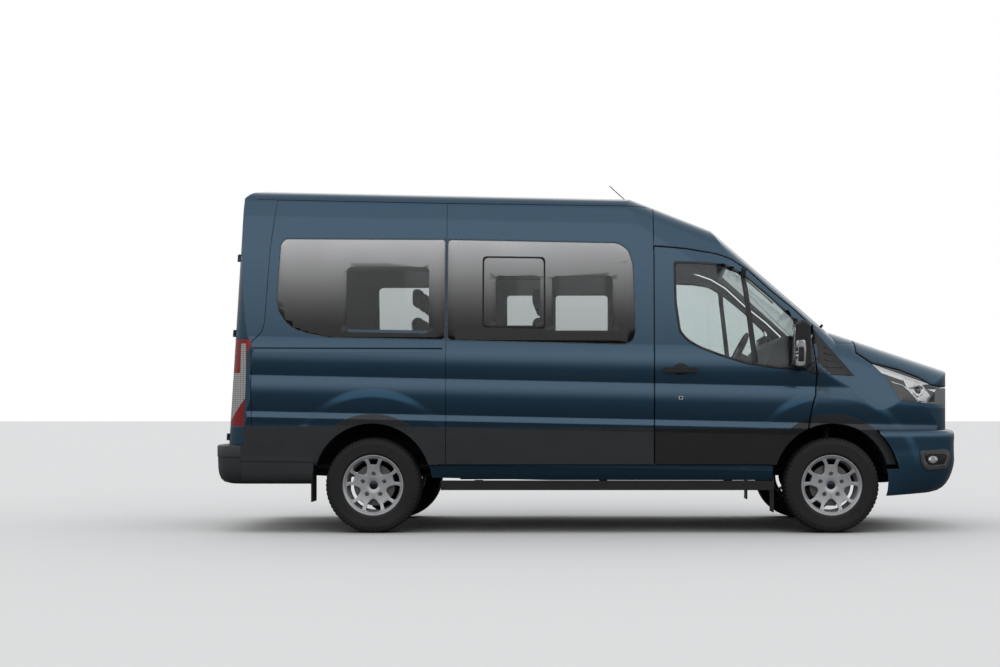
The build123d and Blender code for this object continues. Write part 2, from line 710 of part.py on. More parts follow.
moulding_top_rear = [(-2530, 772), (-2100, 772), (-1000, 763), (0, 757), (1330, 749), (1330, 500), (-2530, 500)]
slide_split = block((sliding_door_rear_x - panel_gap / 2, sliding_door_rear_x + panel_gap / 2), (-1500, 0), (0, far))
band = [(-2480, 640), (-2480, 770), (sliding_door_rear_x, 762), (1400, 750), (1400, sill_top_z + 10), (-2480, sill_top_z + 10)]
flare_outer = arch_radius + arch_flare
flares = arch_cut(front_axle_x, 600, flare_outer) + arch_cut(rear_axle_x, 600, flare_outer)
cladding_shell = cladding_form - outer_form
low = block((-far, far), (-1500, 1500), (sill_top_z + 6, far))
cladding = cladding_shell & (across(band) + (flares & low))
cladding -= arches + door_seam + slide_split
fixed_cladding = cladding & block((-far, sliding_door_rear_x), (-1500, 0), (0, far))
fixed_cladding += cladding & block((-far, front_door_rear_x), (0, 1500), (0, far))
fixed_cladding += cladding & block((sliding_door_rear_x, front_door_rear_x), (-1500, 0), (0, far))
ahead_of_door = block((1540, far), (-1500, 1500), (bumper_flare_z, far))
fixed_cladding += cladding & (ahead_of_door - across(gap_in(front_door_outline, -half_gap - 3)))
save(fixed_cladding, "side_cladding")
door_cladding = cladding & across(gap_in(front_door_outline))
sill_outline = [
    (-1150, sill_top_z - seat_gap), (1316, sill_top_z - seat_gap), (1316, 380), (-1130, 380),
]
sills = (outer_form - inner_form) & across(sill_outline)
sills -= block((-far, far), (-880, 880), (0, far))
save(sills, "sills")

# ---------------------------------------------------------------- floor and wheel housings
housing_wall = 6.0
rear_housing_outer = arch_radius + 8.0
floor_split_x = -1105.0
floor = block((-2560, floor_split_x), (-1500, 1500), (floor_z - floor_thickness, floor_z)) & inner_form
floor += block((floor_split_x, 1557), (-1500, 1500), (floor_z - floor_thickness, floor_z)) & frame_inner_form
front_well = arch_cut(front_axle_x, 500, arch_radius + 30)
rear_well = arch_cut(rear_axle_x, rear_arch_inner_y - housing_wall - seat_gap, rear_housing_outer + seat_gap)
floor = floor - front_well - rear_well
firewall = block((1545, 1557), (-800, 800), (floor_z - floor_thickness, 1290)) & frame_form
save(floor + (firewall - front_well), "floor_pan")
housings = arch_cut(rear_axle_x, rear_arch_inner_y - housing_wall, rear_housing_outer) - rear_arch
housings = housings & block((-far, far), (-950, 950), (floor_z - floor_thickness, far))
front_housing = arch_cut(front_axle_x, front_arch_inner_y - housing_wall, arch_radius + housing_wall) - front_arch
front_housing = front_housing & block((-far, far), (-895, 895), (420, far)) & front_inner_form
strut_y, strut_radius, strut_top_z = 715.0, 28.0, 770.0
with BuildPart() as top_mounts:
    with Locations(*[(front_axle_x, s * strut_y, strut_top_z + seat_gap) for s in (-1, 1)]):
        Cylinder(48, 790 - strut_top_z, align=(Align.CENTER, Align.CENTER, Align.MIN))
save((housings & inner_form) + front_housing + top_mounts.part, "wheel_housings")

# ---------------------------------------------------------------- frames behind the doors
frame_shell = frame_form - frame_inner_form
frame_bottom = sill_top_z - 4 + seat_gap
frame_zone = [(-1100, frame_bottom), (-1100, 2330), (420, 2310), (1000, 2080), (1290, 1840),
              (1560, 1560), (1560, 900), (1480, 850), (1290, frame_bottom)]
cab_opening = [
    (front_door_rear_x + 60, floor_z + 20), (front_door_rear_x + 60, 2000), (900, 1950),
    (1080, 1880), (1290, 1700), (1490, 1500), (1500, 950), (1380, 860), (1250, floor_z + 20),
]
slide_opening = [(sliding_door_rear_x + 60, floor_z + 20), (sliding_door_rear_x + 60, 2230),
                 (front_door_rear_x - 80, 2210), (front_door_rear_x - 80, floor_z + 20)]
frames = frame_shell & across(frame_zone)
frames -= across(cab_opening) + across(slide_opening) + block((-far, far), (-801, 801), (0, far))
frames -= front_well
frames -= block((1335, 1700), (-1500, 1500), (1460, far))
for sign in (-1, 1):
    frames += block((1540, 1690), (sign * 845, sign * 905), (800, 1375)) & frame_form
    for place in front_hinges:
        frames += on_hinge_line(place, sign) * pillar_leaf(sign)
save(frames, "door_frames")

# ---------------------------------------------------------------- chassis
rail_y, rail_width, rail_top, rail_height = 430.0, 70.0, floor_z - floor_thickness - seat_gap, 110.0
cross_members = [-2380.0, -2000.0, -900.0, -250.0, 500.0]
with BuildPart() as chassis:
    with Locations(*[(-30, s * rail_y, rail_top - rail_height / 2) for s in (-1, 1)]):
        Box(5000, rail_width, rail_height)
    with Locations(*[(x, 0, rail_top - rail_height / 2) for x in cross_members]):
        Box(60, 2 * rail_y, 60)
    with Locations((2440, 0, rail_top - rail_height / 2)):
        Box(60, 1300, rail_height)
    with Locations((-1000, 0, rail_top - 25), (790, 0, rail_top - 25)):
        Box(50, 1740, 50)
save(chassis.part, "chassis_frame")

with BuildPart() as engine:
    with Locations((1960, 0, 720)):
        Box(700, 560, 600)
    with Locations((1420, 0, 470)):
        Box(420, 300, 170)
    with BuildSketch(Plane.YZ.offset(rear_axle_x + 150)):
        with Locations((0, 400)):
            Circle(32)
    extrude(amount=1230 - (rear_axle_x + 150))
save(engine.part, "engine_block")

# ---------------------------------------------------------------- wheels
hub_y = track / 2
wheel_face = 55.0
bolt_circle, wheel_bolts, spokes = 80.0, 5, 5


def revolved(points, y):
    """Ring of the half-section (radius, distance outboard) about a wheel's axis, outboard +Y."""
    with BuildPart() as ring:
        with BuildSketch(Plane.XY):
            with BuildLine():
                Polyline(*[(r, o) for r, o in points], close=True)
            make_face()
        revolve(axis=Axis.Y)
    return ring.part


half_width = tyre_width / 2
shoulder_in, shoulder_down = 34.0, 24.0
tyre_section = [
    (rim_radius + 1, -half_width), (tyre_radius - shoulder_down, -half_width),
    (tyre_radius, -half_width + shoulder_in), (tyre_radius, half_width - shoulder_in),
    (tyre_radius - shoulder_down, half_width), (rim_radius + 1, half_width),
]
tyre = revolved(tyre_section, 0)
rim_section = [
    (rim_radius, -half_width + 12), (rim_radius, half_width - 12), (rim_radius - 12, half_width - 12),
    (rim_radius - 12, half_width - 30), (rim_radius - 26, half_width - 30),
    (rim_radius - 26, -half_width + 30), (rim_radius - 12, -half_width + 30),
    (rim_radius - 12, -half_width + 12),
]
spoke_outline = [
    (-24, 60), (-19, 118), (-60, rim_radius - 40), (-66, rim_radius - 14), (66, rim_radius - 14),
    (60, rim_radius - 40), (19, 118), (24, 60),
]
spoke_window = [(-9, 138), (9, 138), (27, rim_radius - 38), (-27, rim_radius - 38)]
spoke_face = outline([(y, -x) for x, y in spoke_outline])
spoke_window_face = outline([(y, -x) for x, y in spoke_window])
rim_ring = revolved(rim_section, 0)
hub_disc = revolved([(0, 20), (0, 62), (28, 62), (28, 48), (66, 48), (66, 56), (94, 56), (94, 20)], 0)
with BuildPart() as rim:
    add(rim_ring)
    add(hub_disc)
    with BuildSketch(Plane.XZ.offset(-58)):
        with PolarLocations(0, spokes, start_angle=90):
            add(spoke_face)
            add(spoke_window_face, mode=Mode.SUBTRACT)
    extrude(amount=26)
for end, x in (("front", front_axle_x), ("rear", rear_axle_x)):
    for side, sign in mirrored:
        turn = Rotation(0, 0, 0) if sign > 0 else Rotation(0, 0, 180)
        place = Pos(x, sign * hub_y, axle_z) * turn
        save(place * rim.part, f"wheel_{end}_{side}")
        save(place * tyre, f"tyre_{end}_{side}")

# ---------------------------------------------------------------- axles, knuckles and springs
steer_y, stud_radius = 770.0, 12.0
hub_seat = hub_y + 20 - seat_gap
with BuildPart() as knuckle:
    with BuildSketch(Plane.XZ.offset(-700)):
        with Locations((0, 0)):
            Rectangle(60, 90)
    extrude(amount=-70)
    with Locations((0, 772, -5)):
        Box(80, 56, 260)
    with Locations((0, strut_y, 135)):
        Cylinder(strut_radius, strut_top_z - axle_z - 135, align=(Align.CENTER, Align.CENTER, Align.MIN))
    with Locations((0, steer_y, -135)):
        Cylinder(stud_radius, 32)
    with Locations((0, 735, 90)):
        Box(56, 90, 70)
    with Locations((0, 735, 150)):
        Box(50, 40, 60)
    with BuildSketch(Plane.XZ.offset(-760)):
        Circle(45)
    extrude(amount=-(hub_seat - 760))
    with BuildSketch(Plane.XZ.offset(-850)):
        Circle(150)
    extrude(amount=-24)
for side, sign in mirrored:
    turn = Rotation(0, 0, 0) if sign > 0 else Rotation(0, 0, 180)
    save(Pos(front_axle_x, 0, axle_z) * turn * knuckle.part, f"knuckle_{side}")

arm_top = axle_z - 135 - seat_gap
with BuildPart() as front_subframe:
    with Locations((front_axle_x, 0, 250)):
        Box(140, 880, 90)
    with Locations(*[(front_axle_x, s * 620, arm_top - 10) for s in (-1, 1)]):
        Box(110, 380, 20)
    with Locations(*[(front_axle_x, s * steer_y, arm_top - 10) for s in (-1, 1)]):
        Cylinder(stud_radius + pin_clearance, 20, mode=Mode.SUBTRACT)
    with Locations(*[(front_axle_x, s * rail_y, 370) for s in (-1, 1)]):
        Box(80, 60, 158.8)
    with Locations(*[(front_axle_x, s * 200, 357.35) for s in (-1, 1)]):
        Box(90, 90, 124.7)
save(front_subframe.part, "front_subframe")

with BuildPart() as rear_axle:
    with BuildSketch(Plane.XZ.offset(-hub_seat)):
        with Locations((rear_axle_x, axle_z)):
            Circle(52)
    extrude(amount=2 * hub_seat)
    for y in (-874, 850):
        with BuildSketch(Plane.XZ.offset(-y)):
            with Locations((rear_axle_x, axle_z)):
                Circle(150)
        extrude(amount=-24)
    with Locations((rear_axle_x, 0, axle_z)):
        Cylinder(140, 210, rotation=(0, 90, 0))
    for y in (-rail_y, rail_y):
        with BuildSketch(Plane.XZ.offset(-(y - 35))):
            with BuildLine():
                upper = ThreePointArc((-2260, 436), (rear_axle_x, 408), (-860, 436))
                Line((-860, 436), (-860, 410))
                ThreePointArc((-860, 410), (rear_axle_x, 382), (-2260, 410))
                Line((-2260, 410), (-2260, 436))
            make_face()
        extrude(amount=-70)
        with Locations((-2250, y, 429.7), (-870, y, 429.7)):
            Box(60, 70, 39.4)
save(rear_axle.part, "rear_axle")

with BuildPart() as tank:
    with Locations((-300, 635, 440)):
        Box(900, 300, 190)
    fillet(tank.edges().filter_by(Axis.X), 40)
    with Locations((-300, 650, 547.5)):
        Box(80, 60, 24.4)
    with BuildSketch(Plane.YZ.offset(-800)):
        with Locations((-600, 455)):
            RectangleRounded(260, 160, 60)
    extrude(amount=700)
    with BuildSketch(Plane.YZ.offset(-2600)):
        with Locations((-600, 470)):
            Circle(26)
    extrude(amount=3600)
    with Locations((-450, -600, 545)):
        Box(60, 60, 29)
save(tank.part, "tank_and_exhaust")

# ---------------------------------------------------------------- steps, flaps, wipers, aerial
with BuildPart() as steps:
    for sign in (-1, 1):
        with Locations((128, sign * 950, 343)):
            Box(2390, 100, 66)
        with Locations(*[(x, sign * 905, 366) for x in (-800, 100, 1000)]):
            Box(60, 40, 27)
        with Locations((1316 + seat_gap + 4, sign * 880, 280)):
            Box(8, 190, 260)
        with Locations((-1996, sign * 880, 355)):
            Box(10, 190, 2 * (sill_top_z - seat_gap - 355))
save(steps.part, "steps_and_flaps")

wiper_rows = [(-640, 205, -20, 150), (60, 195, 690, 175)]
wiper_shell = cladding_form - outer_form
wiper_bars = None
face = slope_plane(screen_slope, screen_point)
out_plane = Plane(origin=face.origin, x_dir=(0, 1, 0), z_dir=face.y_dir)
for y0, up0, y1, up1 in wiper_rows:
    bar = prism(out_plane, [(y0, up0), (y1, up1), (y1, up1 + 16), (y0, up0 + 16)], 120)
    wiper_bars = bar if wiper_bars is None else wiper_bars + bar
save(wiper_shell & wiper_bars, "wipers")

aerial_x, aerial_z = 340.0, 2475.0
with BuildPart() as aerial:
    with BuildSketch(Plane.XZ.offset(-14)):
        with BuildLine():
            Polyline((175, 2485), (290, 2485), (215, 2528), (185, 2530), close=True)
        make_face()
    extrude(amount=28)
    fillet(aerial.edges().filter_by(Axis.Z, reverse=True).group_by(Axis.Z)[-1], 4)
fin = aerial.part - outer_form
with BuildPart() as whip:
    with BuildSketch(Plane(origin=(aerial_x, 0, aerial_z), z_dir=(-0.74, 0, 0.67))):
        Circle(3.5)
    extrude(amount=240)
    with Locations((aerial_x + 2, 0, aerial_z)):
        Cylinder(16, 30)
save(fin + (whip.part - outer_form), "aerial")

# ---------------------------------------------------------------- mirrors, sails and handles
mirror_outline = [(1440, 1195), (1448, 1490), (1500, 1524), (1548, 1490), (1562, 1210), (1520, 1162)]
mirror_face = outline(mirror_outline)
handle_out = 1046.0
for side, sign in mirrored:
    housing_plane = Plane(origin=(0, sign * 1040, 0), x_dir=(1, 0, 0), z_dir=(0, -1, 0))
    with BuildPart() as housing:
        with BuildSketch(housing_plane):
            add(mirror_face)
        extrude(amount=-sign * 195)
        fillet(housing.edges().filter_by(GeomType.LINE).filter_by(Axis.Y, reverse=True), 18)
    arm = block((1515, 1550), (sign * 940, sign * 1060), (1180, 1230)) - skin_form
    window_zone = across(gap_in(front_window_outline, seat_gap)) - across(gap_in(front_light_outline, 0))
    plate = (outer_form - skin_form) & window_zone & block((1502, far), (0, sign * 1500), (0, far))
    handle = block((534, 770), (sign * 990, sign * handle_out), (1152, 1190)) - outer_form
    handle -= block((580, 724), (0, sign * (handle_out - 14)), (0, far))
    trim = housing.part + arm + plate
    save(trim + handle + (door_cladding & side_half(sign)), f"front_door_trim_{side}")

# ---------------------------------------------------------------- interior
dash_profile = [
    (1290, 1200), (1330, 1350), (1420, 1425), (1560, 1430), (1840, 1350), (1840, 1300),
    (1544.7, 1300), (1544.7, 900), (1400, 900), (1310, 1080),
]

column_tilt = 27.0
wheel_centre = (1190.0, 430.0, 1340.0)
tilt = math.radians(column_tilt)
column_plane = Plane(origin=wheel_centre, x_dir=(0, 1, 0), z_dir=(-math.cos(tilt), 0, math.sin(tilt)))
with BuildPart() as steering:
    with BuildSketch(column_plane):
        Circle(46)
        for a in (90, 210, 330):
            with Locations((95 * math.cos(math.radians(a)), 95 * math.sin(math.radians(a)))):
                Rectangle(160, 34, rotation=a)
    extrude(amount=-20)
    with BuildSketch(Plane(origin=column_plane.from_local_coords((180, 0, -10)), x_dir=column_plane.z_dir, z_dir=column_plane.y_dir)):
        RegularPolygon(18, 8)
    revolve(axis=Axis(column_plane.origin, column_plane.z_dir))
save(steering.part, "steering_wheel")
with BuildPart() as column:
    with BuildSketch(column_plane.offset(-20 - seat_gap)):
        Circle(32)
    extrude(amount=-150)
dash = across(dash_profile) & block((-far, far), (-800, 800), (0, far)) & frame_form
save(dash + column.part, "dashboard")

seat_profile = [
    (-10, -110), (480, -110), (505, -40), (470, 0), (95, -25), (-35, 560), (-60, 590),
    (-125, 575), (-20, -60),
]


def seat(x, y, z, width):
    """Cushion, back and headrests of a seat of one or two places; z is the cushion's top."""
    side_view = outline(seat_profile)
    with BuildPart() as made:
        with BuildSketch(Plane(origin=(x, y + width / 2, z), x_dir=(1, 0, 0), z_dir=(0, -1, 0))):
            add(side_view)
        extrude(amount=width)
        places = 2 if width > 700 else 1
        for i in range(places):
            rest_y = y + (i - (places - 1) / 2) * width / 2
            with Locations((x - 96, rest_y, z + 690)):
                Box(90, 260, 160)
            with Locations((x - 90, rest_y - 60, z + 590), (x - 90, rest_y + 60, z + 590)):
                Box(14, 14, 60)
    return made.part


seat_z = 1035.0
cab_seats = [(665, 430, 1010, 500), (665, -330, 1010, 860)]
row_x = [-290, -1190, -2060]
row_y = [540, 70, -400]
cab = Part() + [seat(*row) for row in cab_seats]
save(cab, "cab_seats")
rows = [seat(x, y, seat_z, 450) for x in row_x for y in row_y]
save(Part() + rows, "passenger_seats")
with BuildPart() as frames_under:
    for x, y, z, width in cab_seats:
        with Locations((x + 240, y, (floor_z + z - 110) / 2)):
            Box(440, width - 60, z - 110 - floor_z - 2 * seat_gap)
    for x in row_x:
        for y in row_y:
            with Locations(*[(x + dx, y + dy, (floor_z + seat_z - 110) / 2) for dx in (60, 400) for dy in (-75, 75)]):
                Box(40, 30, seat_z - 110 - floor_z - 2 * seat_gap)
            with Locations((x + 230, y, seat_z - 110 - 20)):
                Box(380, 390, 30)
save(frames_under.part, "seat_frames")
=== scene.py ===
"""Looks of the minibus: metallic blue body, black mouldings, tinted glass, alloy wheels, lamps,
seats and trim, in a white studio. Metres; X forward, Y to the left, Z up, as in the frame.
"""
import math

import bmesh
import bpy
from mathutils import Matrix, Vector
from mathutils.bvhtree import BVHTree
from mathutils.geometry import tessellate_polygon


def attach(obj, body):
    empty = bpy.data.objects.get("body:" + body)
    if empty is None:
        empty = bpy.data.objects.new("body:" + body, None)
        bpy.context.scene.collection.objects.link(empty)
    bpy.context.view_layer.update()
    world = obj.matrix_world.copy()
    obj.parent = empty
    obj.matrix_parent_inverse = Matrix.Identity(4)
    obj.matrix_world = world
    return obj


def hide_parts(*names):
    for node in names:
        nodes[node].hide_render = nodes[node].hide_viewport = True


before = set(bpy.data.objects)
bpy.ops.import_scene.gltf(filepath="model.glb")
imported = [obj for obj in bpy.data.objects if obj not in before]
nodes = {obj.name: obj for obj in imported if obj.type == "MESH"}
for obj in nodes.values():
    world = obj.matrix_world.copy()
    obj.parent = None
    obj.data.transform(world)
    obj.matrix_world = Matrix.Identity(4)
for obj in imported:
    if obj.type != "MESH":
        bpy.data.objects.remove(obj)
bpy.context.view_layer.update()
scene = bpy.context.scene

# ---------------------------------------------------------------- camera
# A level camera at the right-hand side, low, looking along +Y at the whole side.
image_width, image_height = 1000, 667
sensor = 36.0
side_plane = -1.03            # where the flank stands, and how far the camera is from it
side_distance = 11.3
metres_per_pixel = 0.00715    # on that plane
vanishing_column, horizon_row = 577, 415
camera_x, camera_z = -0.09, 0.849
camera = bpy.data.objects.new("camera", bpy.data.cameras.new("camera"))
camera.data.lens = sensor * side_distance / (metres_per_pixel * image_width)
camera.data.sensor_width = sensor
camera.data.shift_x = (image_width / 2 - vanishing_column) / image_width
camera.data.shift_y = (horizon_row - image_height / 2) / image_width
camera.location = (camera_x, side_plane - side_distance, camera_z)
camera.rotation_euler = (math.pi / 2, 0, 0)
scene.collection.objects.link(camera)
scene.camera = camera
scene.view_settings.view_transform = "Standard"

# ---------------------------------------------------------------- studio
# White all round to the eye and through glass. What the paint mirrors is a bright ceiling
# that falls to a dark horizon, as in a studio with a large light overhead.


def join(tree, value, socket):
    """Feeds a socket from another socket, or sets it."""
    if isinstance(value, bpy.types.NodeSocket):
        tree.links.new(value, socket)
    else:
        socket.default_value = value


def sum_of(tree, operation, first, second=0.0, clamp=False):
    """Output of a Math node."""
    node = tree.nodes.new("ShaderNodeMath")
    node.operation = operation
    node.use_clamp = clamp
    join(tree, first, node.inputs[0])
    join(tree, second, node.inputs[1])
    return node.outputs[0]


def ranged(tree, value, low, high, to_low=0.0, to_high=1.0, smooth=False):
    """Output of a Map Range node, held inside its ends."""
    node = tree.nodes.new("ShaderNodeMapRange")
    node.interpolation_type = "SMOOTHSTEP" if smooth else "LINEAR"
    for key, amount in (("Value", value), ("From Min", low), ("From Max", high),
                        ("To Min", to_low), ("To Max", to_high)):
        join(tree, amount, node.inputs[key])
    return node.outputs["Result"]


def mixed(tree, amount, first, second):
    """Output of a colour Mix node."""
    node = tree.nodes.new("ShaderNodeMix")
    node.data_type = "RGBA"
    for key, value in (("Factor", amount), ("A", first), ("B", second)):
        index = [s.name == key and s.enabled for s in node.inputs].index(True)
        join(tree, (*value, 1) if isinstance(value, tuple) and len(value) == 3 else value,
             node.inputs[index])
    return [s for s in node.outputs if s.enabled][0]


world = bpy.data.worlds.new("studio")
scene.world = world
world.use_nodes = True
sky = world.node_tree
sky.nodes.clear()
coordinate = sky.nodes.new("ShaderNodeTexCoord")
split = sky.nodes.new("ShaderNodeSeparateXYZ")
sky.links.new(coordinate.outputs["Generated"], split.inputs[0])
ramp = sky.nodes.new("ShaderNodeValToRGB")
sky_stops = [
    (0.0, 0.14), (0.42, 0.11), (0.49, 0.10), (0.54, 0.25), (0.61, 0.75), (0.68, 1.05),
    (0.80, 0.85), (1.0, 0.50),
]
elements = ramp.color_ramp.elements
for i, (place, value) in enumerate(sky_stops):
    element = elements[i] if i < 2 else elements.new(place)
    element.position = place
    element.color = (value * 0.62, value * 0.625, value * 0.63, 1)
sky.links.new(ranged(sky, split.outputs["Z"], -1.0, 1.0), ramp.inputs["Fac"])
path = sky.nodes.new("ShaderNodeLightPath")
seen = sky.nodes.new("ShaderNodeBackground")
lit = sky.nodes.new("ShaderNodeBackground")
lit.inputs["Strength"].default_value = 1.6
seen.inputs["Color"].default_value = (1, 1, 1, 1)
sky.links.new(ramp.outputs["Color"], lit.inputs["Color"])
choose = sky.nodes.new("ShaderNodeMixShader")
plain = sum_of(sky, "MAXIMUM", path.outputs["Is Camera Ray"], path.outputs["Is Transmission Ray"])
sky.links.new(plain, choose.inputs["Fac"])
sky.links.new(lit.outputs["Background"], choose.inputs[1])
sky.links.new(seen.outputs["Background"], choose.inputs[2])
world_out = sky.nodes.new("ShaderNodeOutputWorld")
sky.links.new(choose.outputs["Shader"], world_out.inputs["Surface"])

# ---------------------------------------------------------------- painted body panels
# Pressed steel in metallic blue under a clear coat. Round each wheel arch the flank swells
# out to a soft crease. The inner faces carry the lining: pale above, near black below.


def shader_group(name, inputs, outputs):
    """Empty node group; inputs are names with defaults, outputs names with their kinds."""
    group = bpy.data.node_groups.new(name, "ShaderNodeTree")
    for key, value in inputs.items():
        coloured = isinstance(value, tuple)
        made = group.interface.new_socket(
            key, in_out="INPUT", socket_type="NodeSocketColor" if coloured else "NodeSocketFloat")
        made.default_value = (*value, 1) if coloured else value
    kinds = {"colour": "NodeSocketColor", "value": "NodeSocketFloat", "normal": "NodeSocketVector"}
    for key, kind in outputs.items():
        group.interface.new_socket(key, in_out="OUTPUT", socket_type=kinds[kind])
    given = group.nodes.new("NodeGroupInput").outputs
    wanted = group.nodes.new("NodeGroupOutput").inputs
    return group, given, wanted


def place_of(tree):
    """Sockets x, y, z of the point in the frame, and of its normal."""
    geometry = tree.nodes.new("ShaderNodeNewGeometry")
    spread = []
    for key in ("Position", "Normal"):
        node = tree.nodes.new("ShaderNodeSeparateXYZ")
        tree.links.new(geometry.outputs[key], node.inputs[0])
        spread += list(node.outputs)
    return geometry.outputs["Position"], spread


def noise(tree, where, scale, detail=2.0):
    """Output of a Noise texture, 0 to 1."""
    node = tree.nodes.new("ShaderNodeTexNoise")
    tree.links.new(where, node.inputs["Vector"])
    join(tree, scale, node.inputs["Scale"])
    node.inputs["Detail"].default_value = detail
    return node.outputs["Fac"]


def raised(tree, height, distance=1.0, edge=None):
    """Normal of a Bump over a softened edge."""
    bump = tree.nodes.new("ShaderNodeBump")
    bump.inputs["Distance"].default_value = distance
    join(tree, height, bump.inputs["Height"])
    if edge is not None:
        bevel = tree.nodes.new("ShaderNodeBevel")
        bevel.samples = 4
        join(tree, edge, bevel.inputs["Radius"])
        tree.links.new(bevel.outputs["Normal"], bump.inputs["Normal"])
    return bump.outputs["Normal"]


panel, given, wanted = shader_group(
    "pressed_panel",
    {"Paint": (0.03, 0.1, 0.2), "Lining": (0.3, 0.3, 0.3), "Swelling": 0.013, "Edge": 0.003},
    {"Colour": "colour", "Metallic": "value", "Coat": "value", "Roughness": "value",
     "Normal": "normal"})
where, (px, py, pz, nx, ny, nz) = place_of(panel)
arch_z, crest_radius, swelling_radius = 0.368, 0.60, 0.672
swelling = 0.0
for arch_x in (1.7425, -1.5575):
    across_x = sum_of(panel, "SUBTRACT", px, arch_x)
    up = sum_of(panel, "SUBTRACT", pz, arch_z)
    radius = sum_of(panel, "SQRT", sum_of(
        panel, "ADD", sum_of(panel, "MULTIPLY", across_x, across_x), sum_of(panel, "MULTIPLY", up, up)))
    bulge = ranged(panel, radius, crest_radius, swelling_radius, 1.0, 0.0, smooth=True)
    swelling = sum_of(panel, "ADD", swelling, bulge)
flank = ranged(panel, sum_of(panel, "ABSOLUTE", ny), 0.5, 0.7)
height = sum_of(panel, "MULTIPLY", sum_of(panel, "MULTIPLY", swelling, given["Swelling"]), flank)
flakes = noise(panel, where, 1400.0, 0.0)
orange_peel = noise(panel, where, 120.0, 1.0)
height = sum_of(panel, "ADD", height, sum_of(panel, "MULTIPLY", orange_peel, 0.00001))
panel.links.new(raised(panel, height, edge=given["Edge"]), wanted["Normal"])
inward = sum_of(panel, "LESS_THAN", sum_of(panel, "MULTIPLY", py, ny), -0.2)
under_roof = sum_of(panel, "MULTIPLY", sum_of(panel, "LESS_THAN", nz, -0.35),
                    sum_of(panel, "GREATER_THAN", pz, 1.0))
from_tail = sum_of(panel, "MULTIPLY", sum_of(panel, "GREATER_THAN", nx, 0.5),
                   sum_of(panel, "LESS_THAN", px, -2.3))
inside = sum_of(panel, "MAXIMUM", sum_of(panel, "MAXIMUM", inward, under_roof), from_tail)
lining = mixed(panel, ranged(panel, pz, 1.40, 2.05), (0.012, 0.012, 0.013), given["Lining"])
glint = ranged(panel, flakes, 0.35, 0.75, 0.82, 1.25)
sparkle = mixed(panel, glint, (0, 0, 0), given["Paint"])
panel.links.new(mixed(panel, inside, sparkle, lining), wanted["Colour"])
outside = sum_of(panel, "SUBTRACT", 1.0, inside)
panel.links.new(sum_of(panel, "MULTIPLY", outside, 0.62), wanted["Metallic"])
panel.links.new(outside, wanted["Coat"])
panel.links.new(ranged(panel, inside, 0.0, 1.0, 0.27, 0.75), wanted["Roughness"])


def finish(name, colour, roughness, metallic=0.0, **sockets):
    """Principled material; its own sockets are named with _ for a space."""
    made = bpy.data.materials.new(name)
    made.use_nodes = True
    bsdf = made.node_tree.nodes["Principled BSDF"]
    bsdf.inputs["Base Color"].default_value = (*colour, 1)
    bsdf.inputs["Roughness"].default_value = roughness
    bsdf.inputs["Metallic"].default_value = metallic
    for key, value in sockets.items():
        bsdf.inputs[key.replace("_", " ")].default_value = value
    return made


def treat(made, group, values, outputs):
    """Places a group in a material, with its values, and links what it puts out."""
    tree = made.node_tree
    node = tree.nodes.new("ShaderNodeGroup")
    node.node_tree = group
    for key, value in values.items():
        node.inputs[key].default_value = (*value, 1) if isinstance(value, tuple) else value
    for key, socket in outputs.items():
        tree.links.new(node.outputs[key], tree.nodes["Principled BSDF"].inputs[socket])
    return made


def wear(piece, made):
    """Gives a piece its only material."""
    piece.data.materials.clear()
    piece.data.materials.append(made)


blue = (0.024, 0.090, 0.160)
panel_edges = {"body_paint": 0.012, "wing_paint": 0.045, "sill_paint": 0.004}
painted = {
    "body_paint": [
        "roof_panel", "cab_frame", "sliding_door", "rear_frame", "side_panel_left",
        "side_panel_right", "front_door_left", "front_door_right", "rear_door_left",
        "rear_door_right"],
    "wing_paint": ["front_wings", "bonnet"],
    "sill_paint": ["sills", "door_frames", "front_bumper"],
}
paints = {}
for kind, edge in panel_edges.items():
    made = finish(kind, blue, 0.34, 0.62, Coat_Weight=1.0, Coat_Roughness=0.03)
    treat(made, panel, {"Paint": blue, "Lining": (0.62, 0.63, 0.64), "Swelling": 0.013,
                        "Edge": edge},
          {"Colour": "Base Color", "Metallic": "Metallic", "Coat": "Coat Weight",
           "Roughness": "Roughness", "Normal": "Normal"})
    paints[kind] = made
    for name in painted[kind]:
        wear(nodes[name], made)

# ---------------------------------------------------------------- black mouldings and cladding
# Grained polypropylene, moulded in colour: side band, arch lips, rear bumper, steps, flaps,
# wipers and the mirror housings. A little road dust lies low down.
moulded, given, wanted = shader_group(
    "moulded_grain",
    {"Colour": (0.03, 0.03, 0.03), "Dust": (0.1, 0.09, 0.08), "Dust Height": 0.5,
     "Grain Size": 900.0, "Grain Depth": 0.0001, "Roughness": 0.5},
    {"Colour": "colour", "Roughness": "value", "Normal": "normal"})
where, (px, py, pz, nx, ny, nz) = place_of(moulded)
cloudy = noise(moulded, where, 6.0, 3.0)
grain = noise(moulded, where, given["Grain Size"], 1.0)
tone = mixed(moulded, ranged(moulded, cloudy, 0.3, 0.7, 0.86, 1.12), (0, 0, 0), given["Colour"])
low = ranged(moulded, pz, 0.0, given["Dust Height"], 1.0, 0.0, smooth=True)
dusty = sum_of(moulded, "MULTIPLY", sum_of(moulded, "MULTIPLY", low, cloudy), 0.35)
moulded.links.new(mixed(moulded, dusty, tone, given["Dust"]), wanted["Colour"])
rougher = sum_of(moulded, "ADD", given["Roughness"], ranged(moulded, grain, 0.3, 0.7, -0.05, 0.07))
moulded.links.new(rougher, wanted["Roughness"])
depth = sum_of(moulded, "MULTIPLY", grain, given["Grain Depth"])
moulded.links.new(raised(moulded, depth, edge=0.004), wanted["Normal"])
grained = {"Colour": "Base Color", "Roughness": "Roughness", "Normal": "Normal"}


